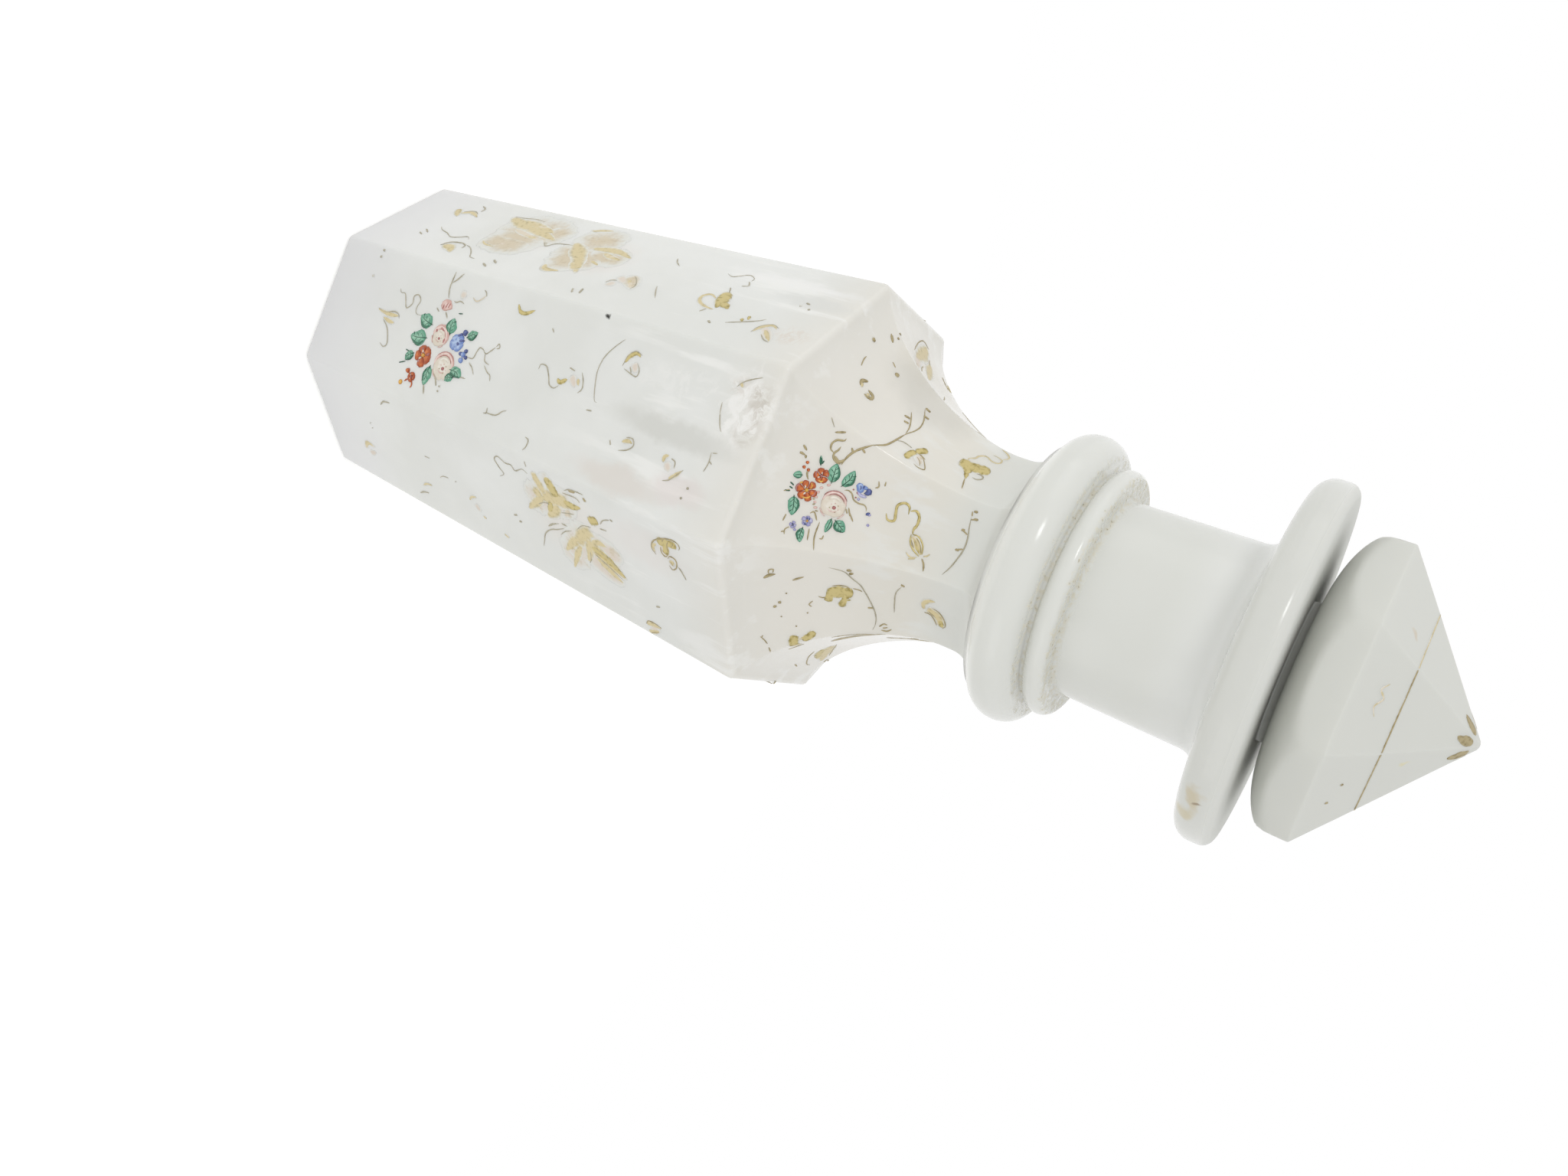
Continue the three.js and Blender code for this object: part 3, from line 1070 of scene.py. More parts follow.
    def rose(self, spot: Spot, size: float, angle: float, bowl: Point = (100, 0.17)) -> None:
        """Paints a full rose: a pale round ground under curved petals, with a dark heart.

        Args:
            spot: Place of its middle.
            size: Its diameter.
            angle: Direction that its cup opens to.
            bowl: Half the angle that the cup's outer petal covers and its width as a share of the size.
        """
        half = size / 2
        self.dab(Paint.CREAM, spot, size * 0.92, 0.14)
        for paint, reach, first, last, width, height in (
            (Paint.PINK, 0.82, -bowl[0], bowl[0], bowl[1], 0.2),
            (Paint.CARMINE, 0.93, -62, 62, 0.035, 0.22),
            (Paint.CARMINE, 0.7, -52, 70, 0.03, 0.25),
            (Paint.PINK, 0.92, 112, 150, 0.045, 0.18),
            (Paint.PINK, 0.92, 200, 246, 0.045, 0.18),
            (Paint.CREAM, 0.5, -60, 60, 0.16, 0.24),
            (Paint.PINK, 0.45, 130, 232, 0.05, 0.2),
        ):
            bow = arc((0, 0), (half * reach,) * 2, angle + first, angle + last, 8)
            self.drawn(Brush(paint, size * width, height=height), spot, 0, bow)
        heart = spot.beside(angle, (-half * 0.16, half * 0.08))
        self.dab(Paint.CARMINE, heart, size * 0.15, 0.26)
        grains = 7
        for step in range(grains):
            grain = heart.beside(angle + 360 / grains * step, (size * 0.15, 0))
            self.dab(Paint.UMBER if step % 2 else Paint.PINK, grain, size * 0.05, 0.22)

    def vine_leaf(self, spot: Spot, angle: float, size: float, wear: float) -> None:
        """Gilds a large lobed leaf with a few broad strokes that leave gaps between them.

        Args:
            spot: Place of its stalk's end.
            angle: Direction of its middle lobe.
            size: Length of that lobe.
            wear: How much is rubbed away.
        """
        for turn, share, breadth in (
            (0, 1.0, 0.30), (34, 0.88, 0.26), (-36, 0.92, 0.27), (72, 0.74, 0.24), (-78, 0.68, 0.24),
            (118, 0.5, 0.2), (-122, 0.46, 0.2),
        ):
            lean = angle + turn + self.chance.uniform(-8, 8)
            far = size * share * self.chance.uniform(0.88, 1.1)
            width = size * breadth
            bend = self.chance.uniform(-0.08, 0.08) * size
            lobe = ((size * 0.02, 0), (far * 0.5, bend), (far * 0.85, bend), (far, 0))
            rub = min(1.0, max(0.0, wear + self.chance.uniform(-0.25, 0.25)))
            self.drawn(Brush(Paint.FAINT, width * 1.5, Tip.LEAF, 0.04, 0.75), spot, lean, lobe)
            self.drawn(Brush(Paint.WORN, width, Tip.LEAF, 0.06, rub), spot, lean, lobe)
            if self.chance.random() < 0.45:
                side = width * 0.42 * self.chance.choice((-1, 1))
                rim = ((far * 0.35, side), (far * 0.7, side * 0.8), (far * 0.97, side * 0.1))
                self.drawn(Brush(Paint.UMBER, 0.22, height=0.08, wear=rub), spot, lean, rim)

    def curl(self, spot: Spot, angle: float, size: float, wear: float) -> None:
        """Gilds a small worn leaf: a bent back of gold round a belly of which the ghost is left.

        Args:
            spot: Place of its middle.
            angle: Direction that its back points to.
            size: Its length.
            wear: How much is rubbed away.
        """
        belly = ((-0.3, 0.5), (0.05, 0), (-0.5, -0.4))
        back = ((-0.55, 0.9), (0.15, 0.75), (0.5, 0), (0.15, -0.75), (-0.55, -0.8))
        rim = ((-0.6, 1.05), (0.3, 0.85), (0.72, 0), (0.3, -0.85))
        for brush, drawing in (
            (Brush(Paint.FAINT, size * 0.5, Tip.LEAF, 0.04, 0.9), belly),
            (Brush(Paint.WORN, size * 0.3, Tip.LEAF, 0.07, wear), back),
            (Brush(Paint.UMBER, 0.24, height=0.08, wear=0.2), rim),
        ):
            self.drawn(brush, spot, angle, [(x * size / 2, y * size / 2) for x, y in drawing])

    def twig(self, facet: float, path: Sequence[Point], buds: Sequence[Triple]) -> None:
        """Paints a thin twig with short dabs beside it.

        Args:
            facet: Angle of its facet.
            path: Points of the twig.
            buds: Each dab as its place along, its place across and its direction in degrees.
        """
        self.stroke(Brush(Paint.UMBER, 0.36, height=0.09, wear=0.1), facet, path)
        for along, across, angle in buds:
            brush = Brush(Paint.UMBER, 0.55, Tip.LEAF, wear=0.1)
            self.drawn(brush, Spot(facet, along, across), angle, ((-0.55, 0), (0.55, 0)))


@dataclass
class CarafeBody(PaintedSurface):
    """The bottle: one thick gather of glass, turned, cut to eight sides and drilled for its stopper."""

    foot_radius: float = 38.0
    foot_bevel: float = 0.8
    shoulder_radius: float = 45.0
    shoulder_height: float = 125.0
    shoulder_rise: float = 34.0
    shoulder_sweep: float = 1.6
    waist_radius: float = 20.9
    waist_length: float = 2.5
    run_out_radius: float = 5.5
    flare_radius: float = 25.2
    flare_height: float = 6.0
    ring_radius: float = 28.8
    ring_width: float = 9.0
    groove_radius: float = 23.0
    groove_width: float = 0.9
    small_ring_radius: float = 24.4
    small_ring_width: float = 3.9
    neck_radius: float = 19.2
    neck_top_radius: float = 19.7
    neck_length: float = 23.9
    neck_fillet: float = 1.0
    lip_fillet: float = 3.2
    lip_radius: float = 33.9
    lip_thickness: float = 7.0
    lip_under_slope: float = 0.9
    rim_lower_round: float = 3.4
    rim_upper_round: float = 2.2
    mouth_bevel: float = 0.8
    wall: float = 4.5
    shoulder_wall: float = 5.0
    floor_thickness: float = 9.0
    floor_round: float = 10.0
    bore_radius: float = 12.0
    bore_bottom: float = 172.0
    socket_depth: float = 27.0
    socket_taper: float = 0.05
    body_ridge: float = 1.5
    shoulder_ridge: float = 0.7
    round_blank: float = 99.0
    table: list[Triple] = field(default_factory=list)

    def __post_init__(self) -> None:
        """Measures the facets' middle line, on which the paint is laid out."""
        outline = [(self.foot_radius, 0.0), (self.shoulder_radius, self.shoulder_height)]
        outline += self.sweep(self.shoulder_radius, self.shoulder_height, self.waist_radius, 120)
        outline.append((self.waist_radius, self.waist_top))
        along = 0.0
        before: Point | None = None
        for corner, height in outline:
            flat = corner * math.cos(HALF_SIDE)
            if before:
                along += math.hypot(flat - before[0], height - before[1])
            self.table.append((along, flat, height))
            before = (flat, height)

    @property
    def waist_top(self) -> float:
        """Height of the waist's upper end, above the shoulder facets."""
        return self.shoulder_height + self.shoulder_rise + self.waist_length

    @property
    def neck_bottom(self) -> float:
        """Height of the small ring's upper side."""
        rings = self.ring_width + self.groove_width + self.small_ring_width
        return self.waist_top + self.flare_height + rings

    @property
    def lip_top(self) -> float:
        """Height of the lip's flat top."""
        lip = self.lip_fillet + self.lip_under_slope + self.lip_thickness
        return self.neck_bottom + self.neck_length + lip

    def sweep(self, wide: float, low: float, narrow: float, steps: int) -> list[Point]:
        """Draws the hollow sweep of a shoulder.

        Args:
            wide: Radius at its lower end.
            low: Height of its lower end.
            narrow: Radius at its upper end.
            steps: Number of spans.

        Returns:
            The points after the first, as (radius, height).
        """
        power = 2 / self.shoulder_sweep
        points = []
        for step in range(1, steps + 1):
            angle = step / steps * math.pi / 2
            inward = math.sin(angle) ** power
            upward = 1 - max(0.0, math.cos(angle)) ** power
            points.append((wide + (narrow - wide) * inward, low + self.shoulder_rise * upward))
        return points

    def socket(self, height: float) -> float:
        """Gives the radius of the ground socket at a height."""
        return self.bore_radius + self.socket_taper * (height - (self.lip_top - self.socket_depth))

    def rows(self, column: int, value: float) -> tuple[Triple, Triple]:
        """Finds the two rows of the table between which a value lies.

        Args:
            column: The column in which it lies: 0 for the distance along, 2 for the height.
            value: The value.

        Returns:
            The row before it and the row after it.
        """
        place = bisect.bisect_left(self.table, value, key=lambda row: row[column])
        place = min(max(place, 1), len(self.table) - 1)
        return self.table[place - 1], self.table[place]

    def along(self, mark: float) -> float:
        """Turns a height above the foot into the distance along the facet's middle line."""
        (s0, _, z0), (s1, _, z1) = self.rows(2, mark)
        return s0 + (s1 - s0) * (mark - z0) / (z1 - z0)

    def profile(self, along: float) -> tuple[float, float, float, float]:
        """Gives the facet's place and direction at a distance along it.

        Args:
            along: Distance from the foot along the facet's middle line.

        Returns:
            Flat distance, height, and the level and upward parts of the outward direction.
        """
        (s0, a0, z0), (s1, a1, z1) = self.rows(0, along)
        share = (along - s0) / (s1 - s0)
        rise, draw_in = (z1 - z0) / (s1 - s0), (a0 - a1) / (s1 - s0)
        return a0 + (a1 - a0) * share, z0 + (z1 - z0) * share, rise, draw_in

    def outside(self) -> list[Station]:
        """Draws the outer surface's levels from the foot to the mouth."""
        rim = self.foot_radius - self.foot_bevel
        cut = [(rim * 0.5, 0.0), (rim, 0.0), (self.foot_radius, self.foot_bevel)]
        cut.append((self.shoulder_radius, self.shoulder_height))
        cut += self.sweep(self.shoulder_radius, self.shoulder_height, self.waist_radius, 26)[1:]
        body = soften(cut, {1: 0.4, 2: 0.5, 3: 1.6})
        levels = [Station(z, self.round_blank, r, self.ridge_at(z)) for r, z in body]
        bend = self.run_out_radius
        run_out = arc((self.waist_radius + bend, self.waist_top), (bend, bend), 180, 90, 9)
        levels += [Station(z, self.flare_radius, r, self.shoulder_ridge) for r, z in run_out]
        flare_top = self.waist_top + self.flare_height
        for drop, swell in ((0.9, 0), (0.3, 0.12)):
            levels.append(Station(flare_top - drop, self.flare_radius + swell))
        levels += self.bulge(self.flare_radius, self.ring_radius, flare_top, self.ring_width)[2:]
        groove = flare_top + self.ring_width
        groove_top = groove + self.groove_width
        levels += [Station(groove + 0.1, self.groove_radius), Station(groove_top - 0.1, self.groove_radius)]
        levels += self.bulge(self.groove_radius, self.small_ring_radius, groove_top, self.small_ring_width)
        return levels + [Station(z, r) for r, z in self.neck_and_lip()]

    def ridge_at(self, height: float) -> float:
        """Gives how round the ridges are: rubbed on the body and crisp above the shoulder."""
        return self.body_ridge if height < self.shoulder_height else self.shoulder_ridge

    @staticmethod
    def bulge(root: float, crest: float, bottom: float, width: float) -> list[Station]:
        """Draws a rounded ring.

        Args:
            root: Radius that it stands on.
            crest: Its largest radius.
            bottom: Height of its lower side.
            width: Its height.

        Returns:
            Its levels.
        """
        bow = arc((root, bottom + width / 2), (crest - root, width / 2), -90, 90, 14)
        return [Station(z, r) for r, z in bow]

    def neck_and_lip(self) -> list[Point]:
        """Draws the neck and the flat lip from the small ring to the mouth, as (radius, height)."""
        low, top = self.neck_bottom, self.lip_top
        small, large = self.neck_fillet, self.lip_fillet
        under, over = self.rim_lower_round, self.rim_upper_round
        rim_bottom = top - self.lip_thickness
        return [
            *arc((self.neck_radius + small, low + small), (small, small), 270, 180, 4),
            (self.neck_radius + 0.2, low + self.neck_length * 0.4),
            *arc((self.neck_top_radius + large, low + self.neck_length), (large, large), 180, 90, 8),
            *arc((self.lip_radius - under, rim_bottom + under), (under, under), -84, 0, 8),
            *arc((self.lip_radius - over, top - over), (over, over), 4, 90, 7),
        ]

    def inside(self) -> list[Station]:
        """Draws the levels of the mouth, the ground socket, the bore and the cavity down to its floor."""
        top = self.lip_top
        mouth = self.socket(top) + self.mouth_bevel
        bevelled, ground = top - self.mouth_bevel, top - 3
        edge = [(mouth + 4, top), (mouth, top), *((self.socket(z), z) for z in (bevelled, ground))]
        levels = [Station(z, r) for r, z in soften(edge, {1: 0.3, 2: 0.3})]
        depths = (3.1, 9, 15, 21, self.socket_depth - 0.2)
        levels += [Station(top - depth, self.socket(top - depth), ground=True) for depth in depths]
        levels += [Station(z, self.bore_radius) for z in (top - self.socket_depth - 0.3, self.bore_bottom)]
        shoulder = self.shoulder_radius * math.cos(HALF_SIDE) - self.wall
        floor = self.foot_radius * math.cos(HALF_SIDE) - self.wall
        low = self.shoulder_height - self.shoulder_wall
        levels += [Station(z, r) for r, z in reversed(self.sweep(shoulder, low, self.bore_radius, 18))]
        levels.append(Station(low, shoulder))
        bend = self.floor_round
        bowl = arc((floor - bend, self.floor_thickness + bend), (bend, bend), 0, -90, 8)
        levels += [Station(z, r) for r, z in bowl]
        return levels + [Station(self.floor_thickness, 8.0)]

    def build(self) -> None:
        """Makes the glass of the bottle, which stands for the frame's bottle."""
        stains_and_shade = (
            StainAndShade(0, -7.5, 119, 41.3, (10, 8, 9), "efeeeb", 0.85, 6.0),
            StainAndShade(0, -4.5, 121.5, 41.3, (5, 8, 3.6), "c8c2b8", 0.6, 3.6),
            StainAndShade(0, -9.5, 121.8, 41.3, (5, 8, 3.4), "c2bbb0", 0.65, 3.0),
            StainAndShade(0, -11, 117.5, 41.3, (3, 8, 4), "d2ccc3", 0.5, 3.4),
            StainAndShade(0, -8, 105, 40.5, (4.5, 6, 15), "e9e9e6", 0.6, 6.0),
            StainAndShade(0, 0.8, 106, 40.5, (3.4, 6, 20), "cbcbc5", 0.6),
            StainAndShade(0, 13.0, 98, 40.2, (3.8, 6, 15), "d9cfc6", 0.45),
            StainAndShade(0, 10.5, 112, 40.8, (4, 6, 8), "ddd1cd", 0.45),
            StainAndShade(45, -8, 106, 40.5, (7, 6, 13), "dfd8d3", 0.4),
            StainAndShade(45, 12, 118, 41.2, (3.5, 6, 9), "eaeae7", 0.6),
            StainAndShade(-45, -9.5, 108, 40.8, (2.4, 6, 22), "ebebe9", 0.7),
            StainAndShade(-45, -4.5, 116, 41.2, (3, 6, 12), "d2d3d0", 0.4),
            StainAndShade(-45, 8, 119, 41.2, (4, 6, 5), "d8cfc4", 0.6, 2.0),
            StainAndShade(-45, -2, 62, 38.6, (10, 6, 12), "e2d5cb", 0.35),
            StainAndShade(-45, -3, 40, 37.5, (9, 6, 12), "e2d6c9", 0.35),
            StainAndShade(45, -3, 86, 39.7, (12, 6, 16), "e0d7cc", 0.4),
            # Painted shade: the next two darken the upper shoulder facets
            StainAndShade(-90, 2, 134.5, 29.5, (16, 16, 10), "b9b29b", 0.42),
            StainAndShade(-45, -8, 140.5, 25.5, (8.5, 16, 13), "c0beb6", 0.42),
            StainAndShade(0, 4, 41, 37.4, (9, 6, 9), "e1dcd4", 0.3),
            StainAndShade(0, -16, 81.7, 39.6, (0.8, 1.6, 0.8), "25251f", 1.0),
            StainAndShade(48, 0, 212.4, 33.9, (4.2, 3, 1.9), "c9bd9f", 0.75),
            StainAndShade(56, 0, 211.4, 33.5, (2.6, 3, 2.3), "cabf9e", 0.75),
            StainAndShade(47, 1.2, 213.2, 33.9, (0.6, 2, 1.3), "94816a", 0.8),
        )
        levels = [*self.outside(), *self.inside()]
        piece = glass_piece("bottle_glass", levels, [CutOpaline(stains_and_shade=stains_and_shade), GroundOpaline()])
        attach(piece, "bottle")
        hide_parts("bottle")


@dataclass
class StopperHead(PaintedSurface):
    """The stopper: a ground plug under a wide head with a rounded underside and an eight-sided point."""

    plug_end: float = 192.3
    plug_bevel: float = 1.2
    plug_low_radius: float = 11.85
    plug_taper: float = 0.05
    head_bottom: float = 217.5
    head_radius: float = 28.5
    underside: float = 7.0
    edge: float = 2.6
    point: float = 20.5
    corner_ease: float = 0.4
    ridge: float = 0.45
    tip_radius: float = 0.35
    tip_bluntness: float = 0.42

    @property
    def edge_top(self) -> float:
        """Height of the upper side of the head's edge."""
        return self.head_bottom + self.underside + self.edge

    @property
    def tip(self) -> float:
        """Height of the point."""
        return self.edge_top + self.point

    @property
    def flat(self) -> float:
        """Distance from the axis to the middle of a side of the head."""
        return self.head_radius * math.cos(HALF_SIDE)

    def along(self, mark: float) -> float:
        """Turns a level distance from the axis into the distance down the facet from the point."""
        return mark * math.hypot(self.flat, self.point) / self.flat

    def profile(self, along: float) -> tuple[float, float, float, float]:
        """Gives the facet's place and direction at a distance from the point.

        Args:
            along: Distance down the facet's middle line.

        Returns:
            Flat distance, height, and the level and upward parts of the outward direction.
        """
        slant = math.hypot(self.flat, self.point)
        level, fall = self.flat / slant, self.point / slant
        return max(along * level, 0.01), self.tip - along * fall, fall, level

    def build(self) -> None:
        """Makes the glass of the stopper, which stands for the frame's stopper."""
        end, radius = self.plug_end, self.plug_low_radius
        plug_length = self.head_bottom - end
        low = [
            (6.0, end), (radius - self.plug_bevel, end), (radius + 0.06, end + self.plug_bevel),
            (radius + 0.2, end + 4),
        ]
        levels = [Station(z, r) for r, z in soften(low, {1: 0.3, 2: 0.3})]
        for share in (0.17, 0.4, 0.6, 0.8, 0.96):
            height = end + plug_length * share
            levels.append(Station(height, radius + self.plug_taper * (height - end), ground=True))
        neck = radius + self.plug_taper * plug_length
        blank = self.head_radius - self.corner_ease
        under = arc((neck, self.head_bottom + self.underside), (blank - neck, self.underside), -90, 0, 16)
        levels += [Station(z, r, self.head_radius, self.ridge) for r, z in under]
        rim = self.head_radius
        crown = [(rim, self.edge_top - self.edge), (rim, self.edge_top), (0.0, self.tip)]
        levels += [Station(z, blank, r, self.ridge) for r, z in soften(crown, {1: 0.6})[1:-1]]
        for share in (0.25, 0.5, 0.7, 0.85, 0.93, 0.97):
            height = self.edge_top + self.point * share
            levels.append(Station(height, blank, self.head_radius * (1 - share), self.ridge))
        levels.append(Station(self.tip - self.tip_bluntness, blank, self.tip_radius, self.ridge))
        # Faint brown and yellow marks on the head
        spots = (
            StainAndShade(-45, 3, 231.8, 20.5, (1.0, 2, 1.2), "c8b79b", 0.5),
            StainAndShade(45, -2, 238.0, 13.0, (0.8, 2, 0.8), "d8cf9f", 0.6),
        )
        polished = CutOpaline(name="opaline_glass_cut_polished_head", lip="d2d3cd", stains_and_shade=spots)
        piece = glass_piece("stopper_glass", levels, [polished, GroundOpaline()])
        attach(piece, "stopper")
        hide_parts("stopper")


# The painter's work sheets, one for each facet and bouquet; Painter.lay says how they are read
BODY_FRONT = """
    WORN 1.3 LEAF .08 .05: 25.6 -1.4, 22 -1.1, 18.3 -1.4 / 25 .4, 23 .3, 20.8 -.1;
    PALE .32: 18.4 -1.6, 21 -1.2, 23.5 -2, 25.3 -1.8, 25.9 -.8 / 21 .3, 23.4 2, 25 5, 24.2 6, 22.6 5.4 /
        23 -7.4, 23.6 -6.5, 25 -6.5, 26 -5, 27 -3.7, 28.3 -5, 28 -6.6, 29.2 -7.2, 30.4 -6.2, 30 -4.5,
        30.5 -3.3, 32.3 -3.2;
    PALE .7 TAPER .1 .6: 13.6 -14 / 13.4 -12.4 / 13.1 -7.8;
    PALE .39: 38.3 -8.6, 37.6 -10.5, 37.5 -12.5, 37.7 -14.6 / 37.7 -12, 39 -13.2, 40.2 -14.7 / 38.9 -5.8,
        40.1 -4.5;
    PALE .34: 40 -8.5, 41 -8.4, 42 -8.9, 43.4 -8.6 / 35.8 -6, 37 -5.3 / 47.5 -12.8, 48.3 -12.4, 48.8 -11.6;
    FAINT .5: 45 -10.6, 46.5 -10, 48 -11, 48.7 -12;
    PALE .29: 49.3 1.6, 51.3 1.4, 51.7 0, 52.2 -1.2, 53.4 -1, 54.2 -.3 / 53.5 -.8, 54.5 -.5, 55.5 -1.4,
        56.4 -2.4 / 56.4 -2.4, 57 -3.3, 57.5 -2.6, 56.6 -2.1 / 54.2 -.5, 54.8 1, 56.4 1.5 / 50.6 2.4,
        51.6 3, 52.2 3.4, 53.2 4.6 / 55 1.8, 56.6 3, 57.6 3.4, 58.2 4.6 / 49.5 6, 51.4 5.9;
    PALE .5: 40.3 10.2, 41.3 12.3 / 42 7.2, 43.2 8.4, 44 9.7 / 45 9.4 / 45 10.5;
    VEIN .3: 31.2 4.7, 33 4.9 / 30.6 8, 32.6 7.1 / 42.6 -6.3, 44 -6.6;
    GOLD 1 TAPER .08: 58.1 -12.4, 59.3 -11, 61 -11, 63.2 -12.2;
    PALE .31: 59.5 11, 60.4 10.8, 60.2 9.6 / 60 10.8, 63 10.5, 64.6 9.2, 65.6 8.8 / 69.2 -10, 70 -9.2 /
        93.2 6.4, 93.8 7.4 / 69.6 -1.2, 69.8 -2.4, 71.4 -2.4, 72.8 -.8, 73.8 .8, 75.2 1.1, 76.2 .2 /
        80.6 -3.8, 81.7 -2.2, 82.1 -.6, 81.3 .5 / 72.6 12.2, 73.8 12.6, 73.8 14, 73.2 15;
    GOLD 1.1 TAPER .08 0: 75.1 -1, 76.2 -.4, 77.8 -1.5;
    FAINT 2 LEAF .04 .9: 78.2 -2.6, 80.4 -.4 / 92 -9, 93.2 -7 / 107.4 6.2, 109 8;
    PALE .34: 77.1 -3.8, 78.9 -3.5 / 84.9 2.8, 86.5 2.6;
    PALE .26: 88 -12.6, 86.2 -10.6, 84.6 -8, 84.2 -5.2, 84.8 -2.6, 86 .4, 87 .8 / 116 -10.8, 117 -12,
        118.6 -13, 120.8 -14;
    GOLD 1.3 LEAF .08 0: 89.8 -8.2, 90.4 -9.8, 91.8 -10.7, 93.1 -10.2;
    PALE .29: 89.5 -7.4, 90 -9.6, 91.4 -11, 93.3 -10.6 / 90 -7.2, 92 -6.7, 93.6 -6.5, 93.8 -7.8, 92.6 -9.1 /
        91.3 -8, 92.2 -6.8;
    PALE .34: 96.5 4.9, 98.2 4.7, 99 5.8, 98 7, 95.8 7.8 / 108.2 5.4, 109.4 5.8, 109.7 7.1 / 108 9.9,
        109.6 9.2, 111 7.6, 111.9 6.5;
    WORN 1.2 LEAF .07 .1: 95.9 6, 97.4 5.4, 98.7 5.6 / 106.9 6.8, 106.8 5.6, 107.8 5 / 109.2 9.2, 110.6 8,
        111.7 6.7;
    WORN 1 LEAF .07 .3: 116.5 -11.9, 117.5 -11.1 / 80.2 -2.4, 81 -.9;
    PALE .26 TAPER .1 .35: 116.2 1.6, 116.4 3.8, 116 5.7 / 116.4 1.8, 117.6 1.5 / 116.4 3.3, 117.2 3.8 /
        114.3 -7.6, 114.8 -5.4, 115.8 -3.2, 116.6 -2.2;
    PALE .55 TAPER .1 .4: 113.6 11.5 / 114.2 9.4;
"""

